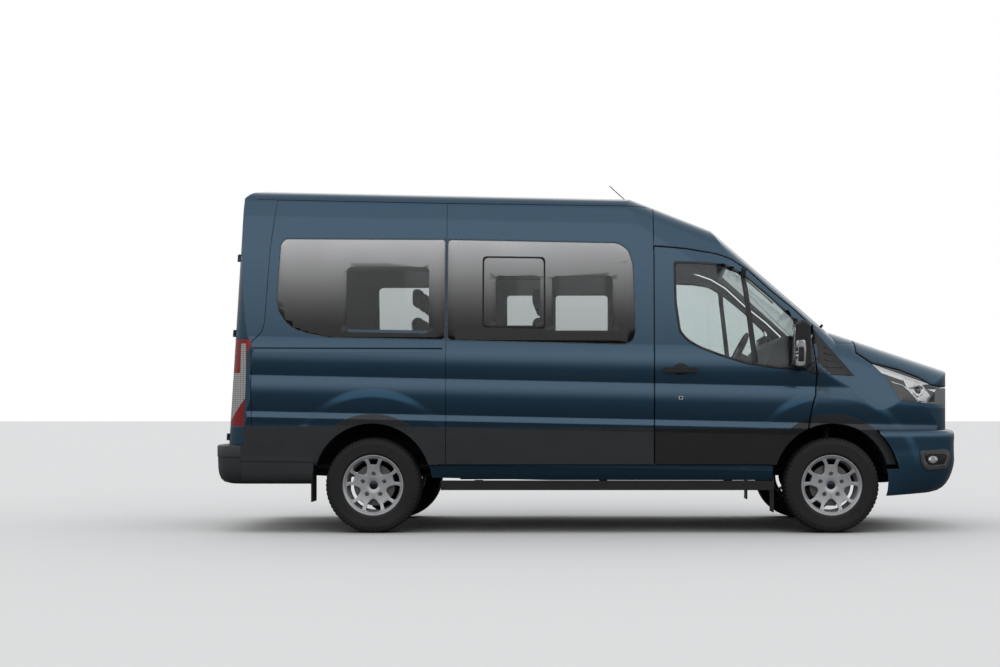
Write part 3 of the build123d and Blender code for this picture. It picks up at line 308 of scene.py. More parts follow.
def moulding(name, colour, roughness, size=900.0, depth=0.0001, dust=0.5, metallic=0.0, **sockets):
    """Material of the grained kind."""
    made = finish(name, colour, roughness, metallic, **sockets)
    values = {"Colour": colour, "Roughness": roughness, "Grain Size": size, "Grain Depth": depth,
              "Dust Height": dust}
    return treat(made, moulded, values, grained)


cladding = moulding("grained_cladding", (0.044, 0.047, 0.052), 0.42, 700.0, 0.00016)
black_trim = moulding("satin_black_trim", (0.022, 0.022, 0.024), 0.38, 1200.0, 0.00006)
for name in ("side_cladding", "rear_bumper"):
    wear(nodes[name], cladding)
for name in ("steps_and_flaps", "wipers", "aerial", "front_door_trim_left", "front_door_trim_right"):
    wear(nodes[name], black_trim)

# ---------------------------------------------------------------- chassis and running gear
# Welded steel under black wax and paint, with the knuckles painted too, a plastic tank
# and a steel exhaust. The housings over the wheels are sprayed with underseal.
chassis_black = moulding("chassis_black", (0.018, 0.018, 0.019), 0.55, 180.0, 0.0004, 0.9)
underseal = moulding("underseal", (0.006, 0.006, 0.0065), 0.85, 90.0, 0.0012, 0.6)
for name in ("chassis_frame", "engine_block", "front_subframe", "rear_axle"):
    wear(nodes[name], chassis_black)
wear(nodes["wheel_housings"], underseal)
for name in ("knuckle_left", "knuckle_right"):
    wear(nodes[name], chassis_black)
wear(nodes["tank_and_exhaust"], chassis_black)

# ---------------------------------------------------------------- cabin floor and seat frames
# Ribbed vinyl floor cover and powder-coated legs.
vinyl = moulding("floor_vinyl", (0.04, 0.04, 0.045), 0.7, 350.0, 0.0003)
wear(nodes["floor_pan"], vinyl)
leg_grey = moulding("powder_coat", (0.03, 0.03, 0.033), 0.5, 800.0, 0.0001)
wear(nodes["seat_frames"], leg_grey)

# ---------------------------------------------------------------- window glass
# Bonded panes: clear in the cab, privacy grey behind it, darker downwards as a painted reflection.
tint_and_painted_reflection, given, wanted = shader_group(
    "glass_tint_painted_reflection", {"Top": (0.9, 0.9, 0.9), "Bottom": (0.8, 0.8, 0.8)},
    {"Colour": "colour"})
where, (px, py, pz, nx, ny, nz) = place_of(tint_and_painted_reflection)
# Painted reflection: the glass colour is lighter towards the top, as if the bright ceiling were mirrored
# in it.
painted_reflection_level = sum_of(tint_and_painted_reflection, "ADD", ranged(tint_and_painted_reflection, pz, 1.3, 2.1), sum_of(
    tint_and_painted_reflection, "MULTIPLY", noise(tint_and_painted_reflection, where, 3.0, 1.0), 0.05), clamp=True)
tint_and_painted_reflection.links.new(mixed(tint_and_painted_reflection, painted_reflection_level, given["Bottom"], given["Top"]), wanted["Colour"])


def pane(name, top, bottom):
    """Glass of that tint, lighter at the top as a painted reflection."""
    made = finish(name, top, 0.0, 0.0, Transmission_Weight=1.0, IOR=1.45)
    return treat(made, tint_and_painted_reflection, {"Top": top, "Bottom": bottom}, {"Colour": "Base Color"})


clear_glass = pane("clear_glass", (0.68, 0.73, 0.73), (0.64, 0.70, 0.70))
privacy_glass = pane("privacy_glass", (0.66, 0.69, 0.69), (0.58, 0.61, 0.61))
for name in ("windscreen", "front_door_glass_left", "front_door_glass_right"):
    wear(nodes[name], clear_glass)
for name in ("side_glass", "rear_door_glass_left", "rear_door_glass_right"):
    wear(nodes[name], privacy_glass)

# ---------------------------------------------------------------- printed borders of the side glass
# Each bonded pane is wider than the opening behind it. Its border is printed in black ceramic and hides
# the glue; the grey at the top, fading to black, is a painted reflection.
views = {
    "right": (Vector((1, 0, 0)), Vector((0, 1, 0))),
    "left": (Vector((1, 0, 0)), Vector((0, -1, 0))),
    "front": (Vector((0, 1, 0)), Vector((-1, 0, 0))),
    "rear": (Vector((0, 1, 0)), Vector((1, 0, 0))),
}


def skin_of(*names):
    """Surface of those nodes, to lay thin pieces on."""
    points, faces = [], []
    for name in names:
        mesh = nodes[name].data
        mesh.calc_loop_triangles()
        start = len(points)
        points += [v.co.copy() for v in mesh.vertices]
        faces += [[start + i for i in t.vertices] for t in mesh.loop_triangles]
    return BVHTree.FromPolygons(points, faces)


def rounded(loop, radius, steps=5):
    """Loop with its corners rounded."""
    soft = []
    for i, point in enumerate(loop):
        here = Vector(point)
        back, ahead = Vector(loop[i - 1]) - here, Vector(loop[(i + 1) % len(loop)]) - here
        cut = min(radius, back.length * 0.45, ahead.length * 0.45)
        start, end = here + back.normalized() * cut, here + ahead.normalized() * cut
        for k in range(steps + 1):
            t = k / steps
            soft.append(tuple(start * (1 - t) ** 2 + here * 2 * t * (1 - t) + end * t * t))
    return soft


def grown(loop, amount):
    """Loop moved outwards; inwards where the amount is negative."""
    area = sum(a[0] * b[1] - b[0] * a[1] for a, b in zip(loop, loop[1:] + loop[:1]))
    turn = 1 if area > 0 else -1
    moved = []
    for i, point in enumerate(loop):
        before = (Vector(point) - Vector(loop[i - 1])).normalized()
        after = (Vector(loop[(i + 1) % len(loop)]) - Vector(point)).normalized()
        out = Vector((before.y + after.y, -before.x - after.x)) * turn
        share = max(0.3, (1 + before.dot(after)) / 2) ** 0.5
        moved.append(tuple(Vector(point) + out.normalized() * amount / share))
    return moved


def put(name, mesh, made, body, smooth=35):
    """Makes a finished mesh into a piece that rides on a body."""
    data = bpy.data.meshes.new(name)
    mesh.to_mesh(data)
    mesh.free()
    data.materials.append(made)
    data.shade_smooth()
    data.set_sharp_from_angle(angle=math.radians(smooth))
    new = bpy.data.objects.new(name, data)
    scene.collection.objects.link(new)
    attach(new, body)
    return new


def laid(name, loops, side, skin, lift, thick, made, body, grid=0.06):
    """Thin piece with an outline and holes as seen from that side, laid on the skin."""
    along, inward = views[side]
    flat = [[Vector((u, v, 0)) for u, v in loop] for loop in loops]
    corners = [point for loop in flat for point in loop]
    mesh = bmesh.new()
    verts = [mesh.verts.new(point) for point in corners]
    for triangle in tessellate_polygon(flat):
        mesh.faces.new([verts[i] for i in triangle])
    for axis in (0, 1):
        low, high = min(p[axis] for p in corners), max(p[axis] for p in corners)
        count = int((high - low) / grid)
        cut = Vector((1 - axis, axis, 0))
        for i in range(1, count + 1):
            bmesh.ops.bisect_plane(
                mesh, geom=mesh.verts[:] + mesh.edges[:] + mesh.faces[:],
                plane_co=cut * (low + (high - low) * i / (count + 1)), plane_no=cut)
    depth = None
    ordered = sorted(mesh.verts, key=lambda v: (v.co.x, v.co.y))
    missed = []
    for vert in ordered:
        start = along * vert.co.x + Vector((0, 0, vert.co.y)) - inward * 4
        hit = skin.ray_cast(start, inward)[0]
        if hit is None:
            missed.append((vert, start))
            continue
        depth = (hit - start).dot(inward)
        vert.co = hit - inward * lift
    for vert, start in missed:
        vert.co = start + inward * ((depth or 4) - lift)
    mesh.normal_update()
    if sum(face.normal.dot(inward) for face in mesh.faces) > 0:
        bmesh.ops.reverse_faces(mesh, faces=mesh.faces[:])
    new = put(name, mesh, made, body)
    shell = new.modifiers.new("thickness", "SOLIDIFY")
    shell.thickness = thick
    shell.offset = -1
    return new


sides = (("right", -1), ("left", 1))
quarter_window = [
    (-2.196, 2.124), (-1.037, 2.119), (-1.037, 1.388), (-1.890, 1.405), (-2.020, 1.432),
    (-2.120, 1.462), (-2.190, 1.518), (-2.237, 1.590), (-2.252, 1.670), (-2.232, 2.085),
]
quarter_light = [(-1.749, 1.914), (-1.155, 1.914), (-1.155, 1.435), (-1.749, 1.445)]
sliding_window = [
    (-1.025, 2.119), (0.210, 2.095), (0.285, 2.040), (0.316, 1.935), (0.334, 1.440),
    (0.310, 1.375), (0.255, 1.355), (-1.025, 1.384),
]
sliding_lights = [
    [(-0.676, 1.850), (-0.355, 1.850), (-0.355, 1.492), (-0.676, 1.492)],
    [(-0.269, 1.850), (0.167, 1.850), (0.167, 1.456), (-0.269, 1.456)],
]
print_and_painted_reflection, given, wanted = shader_group(
    "printed_band_and_painted_reflection", {"Top": (0.4, 0.4, 0.41), "Black From": 1.48, "Grey From": 2.12},
    {"Colour": "colour", "Roughness": "value"})
where, (px, py, pz, nx, ny, nz) = place_of(print_and_painted_reflection)
# Painted reflection: the border is grey towards the top and fades to black lower down.
painted_reflection_rise = ranged(print_and_painted_reflection, pz, given["Black From"], given["Grey From"])
cloudy = noise(print_and_painted_reflection, where, 2.5, 1.0)
painted_reflection_rise = sum_of(print_and_painted_reflection, "MULTIPLY", sum_of(print_and_painted_reflection, "POWER", painted_reflection_rise, 1.7),
              ranged(print_and_painted_reflection, cloudy, 0.3, 0.7, 0.92, 1.06), clamp=True)
print_and_painted_reflection.links.new(mixed(print_and_painted_reflection, painted_reflection_rise, (0.004, 0.004, 0.004), given["Top"]),
                     wanted["Colour"])
print_and_painted_reflection.links.new(ranged(print_and_painted_reflection, cloudy, 0.3, 0.7, 0.05, 0.09), wanted["Roughness"])
border_ink_and_painted_reflection = finish("printed_border_and_painted_reflection", (0.1, 0.1, 0.1), 0.07, 0.0, Coat_Weight=0.3)
treat(border_ink_and_painted_reflection, print_and_painted_reflection, {"Top": (0.90, 0.90, 0.91)},
      {"Colour": "Base Color", "Roughness": "Roughness"})
rubber = moulding("seal_rubber", (0.016, 0.016, 0.017), 0.6, 1500.0, 0.00005)


def slider_loop(inset):
    """Outline of the opening pane, moved in."""
    return rounded([(-0.765 + inset, 1.990 - inset), (-0.325 - inset, 1.985 - inset),
                    (-0.322 - inset, 1.475 + inset), (-0.765 + inset, 1.485 + inset)], 0.035)


for side, sign in sides:
    glass = skin_of("side_glass")
    laid(f"quarter_border_{side}",
         [grown(rounded(quarter_window, 0.03), -0.006), rounded(quarter_light, 0.04)],
         side, glass, 0.0008, 0.0006, border_ink_and_painted_reflection, "body")
    laid(f"side_border_{side}",
         [grown(rounded(sliding_window, 0.04), -0.006)]
         + [rounded(light, 0.03) for light in sliding_lights],
         side, glass, 0.0008, 0.0006, border_ink_and_painted_reflection, "body")
    laid(f"opening_pane_seal_{side}", [slider_loop(-0.006), slider_loop(0.006)],
         side, glass, 0.0022, 0.003, rubber, "body")

# ---------------------------------------------------------------- cab door window
# Rubber run round the drop glass, the bar between it and the fixed quarter light, and the
# ribbed black cover at the mirror foot that carries on over the wing.
door_window = [
    (0.610, 1.956), (0.875, 1.950), (1.017, 1.926), (1.135, 1.855), (1.307, 1.712),
    (1.481, 1.549), (1.500, 1.440), (1.500, 1.190), (1.360, 1.181), (1.130, 1.215),
    (0.952, 1.270), (0.790, 1.332), (0.700, 1.385), (0.645, 1.450), (0.615, 1.660),
]
window_bar = [(1.088, 1.900), (1.124, 1.896), (1.212, 1.196), (1.172, 1.202)]
door_sail = [(1.506, 1.535), (1.600, 1.500), (1.608, 1.300), (1.624, 1.142), (1.500, 1.172)]
wing_sail = [(1.613, 1.488), (1.912, 1.132), (1.636, 1.140), (1.624, 1.250)]
rib_rows = [(1.352, 0.080), (1.306, 0.112), (1.258, 0.150), (1.210, 0.190)]
sail_lift, sail_thick = 0.0015, 0.002
rib_lift, rib_thick = 0.0045, 0.003
run_rubber = moulding("window_run", (0.045, 0.046, 0.048), 0.5, 1500.0, 0.00005)
for side, sign in sides:
    door = f"front_door_{side}"
    door_skin = skin_of(door, f"front_door_glass_{side}")
    loop = rounded(door_window, 0.03)
    laid(f"window_run_{side}", [grown(loop, 0.004), grown(loop, -0.013)],
         side, door_skin, 0.0025, 0.004, run_rubber, door, 0.04)
    laid(f"window_bar_{side}", [window_bar], side, skin_of(f"front_door_glass_{side}"),
         0.004, 0.006, run_rubber, door)
    sail_skin = skin_of(door, "front_wings", "windscreen", "cab_frame", f"front_door_glass_{side}")
    laid(f"door_sail_{side}", [rounded(door_sail, 0.006)], side, sail_skin, sail_lift, sail_thick,
         black_trim, door, 0.03)
    laid(f"wing_sail_{side}", [rounded(wing_sail, 0.006)], side, sail_skin, sail_lift, sail_thick,
         black_trim, "body", 0.03)
    for i, (z, reach) in enumerate(rib_rows):
        end = 1.640 + reach
        rib = [(1.696, z - 0.003), (end, z - 0.012), (end, z - 0.020), (1.696, z - 0.016)]
        laid(f"wing_rib_{side}_{i}", [rounded(rib, 0.004)], side, sail_skin, rib_lift, rib_thick,
             run_rubber, "body", 0.03)
        rib = [(1.572, z), (1.612, z), (1.612, z - 0.016), (1.572, z - 0.014)]
        laid(f"door_rib_{side}_{i}", [rounded(rib, 0.004)], side, sail_skin, rib_lift, rib_thick,
             run_rubber, door, 0.03)

# ---------------------------------------------------------------- lock and handle recess
# Chromed key cylinder low on each cab door, and a flat dark oval behind its pull handle: painted shade of
# the recess.
chrome = moulding("chrome", (0.72, 0.73, 0.74), 0.08, 300.0, 0.00001, 0.3, 1.0)
for side, sign in sides:
    door = f"front_door_{side}"
    door_skin = skin_of(door)
    ring = [(0.654 + 0.017 * math.cos(a / 12 * math.pi), 0.971 + 0.017 * math.sin(a / 12 * math.pi))
            for a in range(24)]
    laid(f"lock_ring_{side}", [ring, grown(ring, -0.007)], side, door_skin, 0.005, 0.006,
         chrome, door)
    laid(f"lock_barrel_{side}", [grown(ring, -0.0068)], side, door_skin, 0.003, 0.004,
         black_trim, door)
    # A flat dark oval laid on the door skin: painted shade standing for the recess behind the handle.
    painted_recess_shade = [(0.654 + 0.058 * math.cos(a / 12 * math.pi), 1.178 + 0.042 * math.sin(a / 12 * math.pi))
            for a in range(24)]
    laid(f"handle_recess_painted_shade_{side}", [painted_recess_shade], side, door_skin, 0.001, 0.001, black_trim, door,
         0.03)

# ---------------------------------------------------------------- alloy wheels
# One casting: a barrel with two bead seats, and a dished face with five spokes that fork
# towards the rim. Windows and bolt recesses are cut through it and every edge is broken.
hub_places = {
    f"{end}_{side}": (x, sign)
    for end, x in (("front", 1.7425), ("rear", -1.5575)) for side, sign in sides
}
hub_y, axle_z = 0.866, 0.343
spokes = 5


def turned(profile, steps, closed=True):
    """Mesh spun round Y from a profile of radius and distance along Y."""
    mesh = bmesh.new()
    rings = []
    for k in range(steps):
        a = 2 * math.pi * k / steps
        rings.append([mesh.verts.new((r * math.sin(a), y, r * math.cos(a))) for r, y in profile])
    count = len(profile) if closed else len(profile) - 1
    for k in range(steps):
        here, ahead = rings[k], rings[(k + 1) % steps]
        for i in range(count):
            j = (i + 1) % len(profile)
            mesh.faces.new((here[i], here[j], ahead[j], ahead[i]))
    bmesh.ops.remove_doubles(mesh, verts=mesh.verts[:], dist=1e-6)
    bmesh.ops.recalc_face_normals(mesh, faces=mesh.faces[:])
    return mesh


def bar_through(mesh, loop, low, high):
    """Adds a prism along Y to a mesh, from a loop of x and z."""
    ends = [[mesh.verts.new((x, y, z)) for x, z in loop] for y in (low, high)]
    mesh.faces.new(ends[0])
    mesh.faces.new(list(reversed(ends[1])))
    for i in range(len(loop)):
        j = (i + 1) % len(loop)
        mesh.faces.new((ends[0][i], ends[1][i], ends[1][j], ends[0][j]))


def about_hub(loop, turn):
    """Loop of x and z, turned about the hub."""
    c, s = math.cos(turn), math.sin(turn)
    return [(x * c + z * s, -x * s + z * c) for x, z in loop]


def polar(radius, degrees):
    """Point at that angle from the top."""
    return (radius * math.sin(math.radians(degrees)), radius * math.cos(math.radians(degrees)))


def settled(obj):
    """Mesh of an object with its modifiers in it."""
    graph = bpy.context.evaluated_depsgraph_get()
    return bpy.data.meshes.new_from_object(obj.evaluated_get(graph))


barrel = turned([
    (0.2185, 0.096), (0.2190, 0.090), (0.2165, 0.084), (0.2050, 0.080), (0.2040, 0.040),
    (0.1880, 0.015), (0.1880, -0.050), (0.2040, -0.070), (0.2060, -0.080), (0.2185, -0.086),
    (0.2185, -0.094), (0.2100, -0.096), (0.1980, -0.078), (0.1820, -0.052), (0.1820, 0.016),
    (0.1960, 0.044), (0.1975, 0.076), (0.2010, 0.0835), (0.2020, 0.0870), (0.2080, 0.0915),
    (0.2120, 0.0960),
], 120)
face_disc = turned([
    (0.0295, 0.060), (0.045, 0.0650), (0.062, 0.0660), (0.100, 0.0665), (0.130, 0.0690),
    (0.155, 0.0725), (0.180, 0.0770), (0.1985, 0.0800), (0.1985, 0.0600), (0.170, 0.0520),
    (0.130, 0.0420), (0.090, 0.0330), (0.0295, 0.0280),
], 120)
windows = bmesh.new()
for k in range(spokes):
    turn = 2 * math.pi * k / spokes
    between = [polar(0.098, 36), polar(0.104, 27), polar(0.150, 17.2), polar(0.186, 19.0),
               polar(0.1935, 22), polar(0.1955, 30), polar(0.1960, 36), polar(0.1955, 42),
               polar(0.1935, 50), polar(0.186, 53.0), polar(0.150, 54.8), polar(0.104, 45)]
    bar_through(windows, about_hub(rounded(between, 0.012, 4), turn), -0.05, 0.12)
    fork = [polar(0.150, -8.5), polar(0.1945, -11.2), polar(0.1955, 0), polar(0.1945, 11.2),
            polar(0.150, 8.5)]
    bar_through(windows, about_hub(rounded(fork, 0.007, 4), turn), -0.05, 0.12)
    pocket = [(0.0165 * math.cos(a * math.pi / 10), 0.081 + 0.0165 * math.sin(a * math.pi / 10))
              for a in range(20)]
    bar_through(windows, about_hub(pocket, turn), 0.050, 0.12)
bmesh.ops.recalc_face_normals(windows, faces=windows.faces[:])


def loose_object(name, mesh):
    """Object that stands for a while, to be cut or reshaped."""
    data = bpy.data.meshes.new(name)
    mesh.to_mesh(data)
    mesh.free()
    made = bpy.data.objects.new(name, data)
    scene.collection.objects.link(made)
    return made


disc, cutter = loose_object("wheel_face", face_disc), loose_object("wheel_windows", windows)
cut = disc.modifiers.new("windows", "BOOLEAN")
cut.operation = "DIFFERENCE"
cut.solver = "EXACT"
cut.object = cutter
broken = disc.modifiers.new("edges", "BEVEL")
broken.width = 0.0032
broken.segments = 3
broken.limit_method = "ANGLE"
broken.angle_limit = math.radians(35)
face_mesh = settled(disc)
casting = bmesh.new()
casting.from_mesh(face_mesh)
for obj in (disc, cutter):
    bpy.data.objects.remove(obj)
barrel_data = bpy.data.meshes.new("barrel")
barrel.to_mesh(barrel_data)
barrel.free()
casting.from_mesh(barrel_data)
alloy_metal = moulding("alloy_lacquer", (0.72, 0.73, 0.75), 0.33, 500.0, 0.00002, 0.05, 0.45,
                       Coat_Weight=0.5, Coat_Roughness=0.05)
wheel_mesh = bpy.data.meshes.new("alloy_wheel")
casting.to_mesh(wheel_mesh)
casting.free()
wheel_mesh.materials.append(alloy_metal)
wheel_mesh.shade_smooth()
wheel_mesh.set_sharp_from_angle(angle=math.radians(38))


def at_hubs(name, mesh, corners=hub_places, replaced=None, body=None):
    """One copy of a wheel part at each hub; its +Y faces outwards."""
    for corner, (x, sign) in corners.items():
        new = bpy.data.objects.new(f"{name}_{corner}", mesh)
        new.matrix_world = (Matrix.Translation((x, sign * hub_y, axle_z))
                            @ Matrix.Rotation(0 if sign > 0 else math.pi, 4, "Z"))
        scene.collection.objects.link(new)
        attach(new, body(corner) if body else f"wheel_{corner}")
        if replaced:
            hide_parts(f"{replaced}_{corner}")


at_hubs("alloy_wheel", wheel_mesh, replaced="wheel")

# ---------------------------------------------------------------- wheel bolts and hub caps
# Five steel bolts sit deep in their recesses; a bare dark cap snaps into the bore.
bolt_steel = moulding("bolt_steel", (0.20, 0.20, 0.21), 0.35, 600.0, 0.00005, 0.3, 0.9)
bolts = bmesh.new()
for k in range(spokes):
    x, z = polar(0.081, 72 * k)
    head = [(x + 0.0115 * math.cos(a * math.pi / 3), z + 0.0115 * math.sin(a * math.pi / 3))
            for a in range(6)]
    bar_through(bolts, head, 0.046, 0.060)
    top = [(x + 0.0080 * math.cos(a * math.pi / 8), z + 0.0080 * math.sin(a * math.pi / 8))
           for a in range(16)]
    bar_through(bolts, top, 0.056, 0.0635)
bmesh.ops.recalc_face_normals(bolts, faces=bolts.faces[:])
bolt_mesh = bpy.data.meshes.new("wheel_bolts")
bolts.to_mesh(bolt_mesh)
bolts.free()
bolt_mesh.materials.append(bolt_steel)
at_hubs("wheel_bolts", bolt_mesh)
cap_blue = moulding("cap_plastic", (0.010, 0.012, 0.030), 0.15, 900.0, 0.00002, 0.05)
cap = turned([(0.0, 0.0700), (0.012, 0.0696), (0.022, 0.0682), (0.0275, 0.0655), (0.0290, 0.0610),
              (0.0290, 0.050), (0.0, 0.050)], 48, closed=False)
cap_mesh = bpy.data.meshes.new("hub_cap")
cap.to_mesh(cap_mesh)
cap.free()
cap_mesh.materials.append(cap_blue)
cap_mesh.shade_smooth()
cap_mesh.set_sharp_from_angle(angle=math.radians(40))
at_hubs("hub_cap", cap_mesh)

# ---------------------------------------------------------------- brake discs
# Cast-iron discs with a plain bell, bolted behind each wheel.
disc_iron = moulding("disc_iron", (0.26, 0.255, 0.25), 0.34, 250.0, 0.0001, 0.3, 0.85)
rotor = turned([
    (0.030, 0.026), (0.088, 0.026), (0.092, 0.022), (0.093, 0.0125), (0.148, 0.0125),
    (0.150, 0.0105), (0.150, 0.0090), (0.096, 0.0090), (0.030, 0.020),
], 96)
rotor_mesh = bpy.data.meshes.new("brake_disc")
rotor.to_mesh(rotor_mesh)
rotor.free()
rotor_mesh.materials.append(disc_iron)
rotor_mesh.shade_smooth()
rotor_mesh.set_sharp_from_angle(angle=math.radians(35))
at_hubs("brake_disc", rotor_mesh)

# ---------------------------------------------------------------- tyres
# Radial van tyres: ribbed sidewall, a shoulder of cross-cut blocks and four grooves round
# the tread. Each is one closed rubber mesh.
blocks, per_block = 66, 5
tyre_profile = [
    (0.2060, 0.0830), (0.2185, 0.0965), (0.2290, 0.1010), (0.2310, 0.1035), (0.2370, 0.1050),
    (0.2400, 0.1043), (0.2550, 0.1072), (0.2580, 0.1068), (0.2750, 0.1078), (0.2920, 0.1068),
    (0.2935, 0.1078), (0.3020, 0.1060), (0.3140, 0.1020), (0.3215, 0.0985), (0.3235, 0.0985),
    (0.3330, 0.0930), (0.3395, 0.0850), (0.3420, 0.0760), (0.3425, 0.0600), (0.3350, 0.0580),
    (0.3350, 0.0500), (0.3428, 0.0480), (0.3430, 0.0270), (0.3350, 0.0250), (0.3350, 0.0170),
    (0.3430, 0.0150),
]
cut_rows = range(14, 19)       # the rows of the shoulder blocks
middle_rows = range(21, 23)    # the rows of the inner blocks
whole = tyre_profile + [(r, -y) for r, y in reversed(tyre_profile)]
steps = blocks * per_block
mesh = bmesh.new()
rings = []
for k in range(steps):
    a = 2 * math.pi * k / steps
    groove = k % per_block == 0
    inner_groove = (k + 2) % per_block == 0
    ring = []
    for i, (r, y) in enumerate(whole):
        j = min(i, len(whole) - 1 - i)
        drop = 0.0062 if groove and j in cut_rows else 0.0
        drop = 0.0060 if inner_groove and j in middle_rows else drop
        ring.append(mesh.verts.new(((r - drop) * math.sin(a), y, (r - drop) * math.cos(a))))
    rings.append(ring)
for k in range(steps):
    here, ahead = rings[k], rings[(k + 1) % steps]
    for i in range(len(whole)):
        j = (i + 1) % len(whole)
        mesh.faces.new((here[i], here[j], ahead[j], ahead[i]))
bmesh.ops.recalc_face_normals(mesh, faces=mesh.faces[:])
tyre_rubber = moulding("tyre_rubber", (0.021, 0.021, 0.022), 0.68, 420.0, 0.00012, 0.25)
tyre_mesh = bpy.data.meshes.new("tyre")
mesh.to_mesh(tyre_mesh)
mesh.free()
tyre_mesh.materials.append(tyre_rubber)
tyre_mesh.shade_smooth()
tyre_mesh.set_sharp_from_angle(angle=math.radians(32))
at_hubs("road_tyre", tyre_mesh, replaced="tyre")

# ---------------------------------------------------------------- seats
# Foam cushions, backs and headrests in a dark woven cover, sewn with two channels. Each form
# is blown up as cloth under pressure, then the channels are drawn in.
weave, given, wanted = shader_group(
    "woven_cover", {"Yarn": (0.05, 0.05, 0.06), "Shade": (0.02, 0.02, 0.025), "Threads": 900.0},
    {"Colour": "colour", "Roughness": "value", "Normal": "normal"})
where, (px, py, pz, nx, ny, nz) = place_of(weave)
upright = sum_of(weave, "MULTIPLY", sum_of(weave, "ADD", pz, px), given["Threads"])
sideways = sum_of(weave, "MULTIPLY", py, given["Threads"])
over = sum_of(weave, "MULTIPLY", sum_of(weave, "SINE", upright), sum_of(weave, "SINE", sideways))
cloudy = noise(weave, where, 14.0, 3.0)
mask = ranged(weave, sum_of(weave, "ADD", over, cloudy), -0.4, 1.4)
weave.links.new(mixed(weave, mask, given["Shade"], given["Yarn"]), wanted["Colour"])
weave.links.new(ranged(weave, cloudy, 0.3, 0.7, 0.85, 0.95), wanted["Roughness"])
weave.links.new(raised(weave, over, 0.0003), wanted["Normal"])
cover = finish("seat_cover", (0.04, 0.042, 0.05), 0.9, 0.0, Sheen_Weight=0.25)
treat(cover, weave, {"Yarn": (0.060, 0.062, 0.072), "Shade": (0.018, 0.018, 0.022),
                     "Threads": 1100.0},
      {"Colour": "Base Color", "Roughness": "Roughness", "Normal": "Normal"})


def foam(name, size, swell, channels):
    """Cushion of that size about its middle: a box blown up as cloth, then sewn."""
    mesh = bmesh.new()
    bmesh.ops.create_cube(mesh, size=1.0)
    for vert in mesh.verts:
        vert.co = Vector(a * (b - 2 * swell) for a, b in zip(vert.co, size))
    bmesh.ops.bevel(mesh, geom=mesh.edges[:], offset=min(size) * 0.3, segments=4, profile=0.5,
                    affect="EDGES")
    block = loose_object(name, mesh)
    block.data.remesh_voxel_size = 0.013
    with bpy.context.temp_override(active_object=block, object=block, selected_objects=[block]):
        bpy.ops.object.voxel_remesh()
    still = [v.co.copy() for v in block.data.vertices]
    cloth = block.modifiers.new("cloth", "CLOTH")
    cloth.settings.use_pressure = True
    cloth.settings.uniform_pressure_force = 4
    cloth.settings.effector_weights.gravity = 0
    cloth.settings.tension_stiffness = 25
    cloth.settings.compression_stiffness = 25
    for step in range(1, 21):
        scene.frame_set(step)
    blown = settled(block)
    block.modifiers.clear()
    for vert, new, old in zip(block.data.vertices, blown.vertices, still):
        move = new.co - old
        vert.co = old + move.normalized() * min(move.length, swell * 1.4)
    scene.frame_set(1)
    finer = block.modifiers.new("finer", "SUBSURF")
    finer.levels = finer.render_levels = 1
    data = settled(block)
    bpy.data.objects.remove(block)
    half = Vector(size) / 2
    for vert in data.vertices:
        for place in channels:
            gap = abs(vert.co.y - place) / 0.011
            vert.co -= vert.normal * 0.007 * max(0.0, 1 - gap * gap)
        for axis in range(3):
            vert.co[axis] = max(-half[axis], min(half[axis], vert.co[axis]))
    data.materials.append(cover)
    data.shade_smooth()
    return data


cushion_foam = foam("cushion_foam", (0.490, 0.440, 0.108), 0.012, (-0.135, 0.135))
back_foam = foam("back_foam", (0.100, 0.440, 0.610), 0.012, (-0.135, 0.135))
head_foam = foam("head_foam", (0.086, 0.250, 0.150), 0.008, ())
seat_rows = [(x, y, 1.035, 0.45, "passenger_seats") for x in (-0.29, -1.19, -2.06)
             for y in (0.54, 0.07, -0.40)]
seat_rows += [(0.665, 0.43, 1.01, 0.50, "cab_seats"), (0.665, -0.115, 1.01, 0.43, "cab_seats"),
              (0.665, -0.545, 1.01, 0.43, "cab_seats")]
back_lean = math.radians(-9)
for i, (x, y, z, width, replaced) in enumerate(seat_rows):
    parts = (
        ("cushion", cushion_foam, (x + 0.245, y, z - 0.055), 0.0),
        ("back", back_foam, (x - 0.047, y, z + 0.262), back_lean),
        ("headrest", head_foam, (x - 0.096, y, z + 0.690), 0.0),
    )
    for kind, mesh, place, lean in parts:
        new = bpy.data.objects.new(f"seat_{kind}_{i + 1}", mesh)
        new.matrix_world = (Matrix.Translation(place) @ Matrix.Rotation(lean, 4, "Y")
                            @ Matrix.Diagonal((1, width / 0.45 if kind != "headrest" else 1, 1, 1)))
        scene.collection.objects.link(new)
        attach(new, "body")
        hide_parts(replaced)

# ---------------------------------------------------------------- headlamps
# Polycarbonate lens over a dark housing: a bright upper strip, a smoked middle, and a round
# projector in a chromed chamber near the front.
lamp_grain, given, wanted = shader_group(
    "lamp_inside", {"Bright": (0.7, 0.7, 0.72), "Dark": (0.03, 0.03, 0.03)},
    {"Colour": "colour", "Metallic": "value", "Normal": "normal"})
where, (px, py, pz, nx, ny, nz) = place_of(lamp_grain)
brow = sum_of(lamp_grain, "ADD", pz, sum_of(lamp_grain, "MULTIPLY", sum_of(
    lamp_grain, "SUBTRACT", px, 2.043), 0.352))
strip = sum_of(lamp_grain, "MULTIPLY", sum_of(lamp_grain, "GREATER_THAN", brow, 1.176),
               sum_of(lamp_grain, "LESS_THAN", brow, 1.218))
foot = sum_of(lamp_grain, "MULTIPLY", sum_of(lamp_grain, "LESS_THAN", pz, 0.944), 1.0)
nose_side = sum_of(lamp_grain, "GREATER_THAN", px, 2.50)
shiny = sum_of(lamp_grain, "MAXIMUM", sum_of(lamp_grain, "MAXIMUM", strip, foot), nose_side)
flutes = sum_of(lamp_grain, "SINE", sum_of(lamp_grain, "MULTIPLY", px, 500.0))
lamp_grain.links.new(mixed(lamp_grain, shiny, given["Dark"], given["Bright"]), wanted["Colour"])
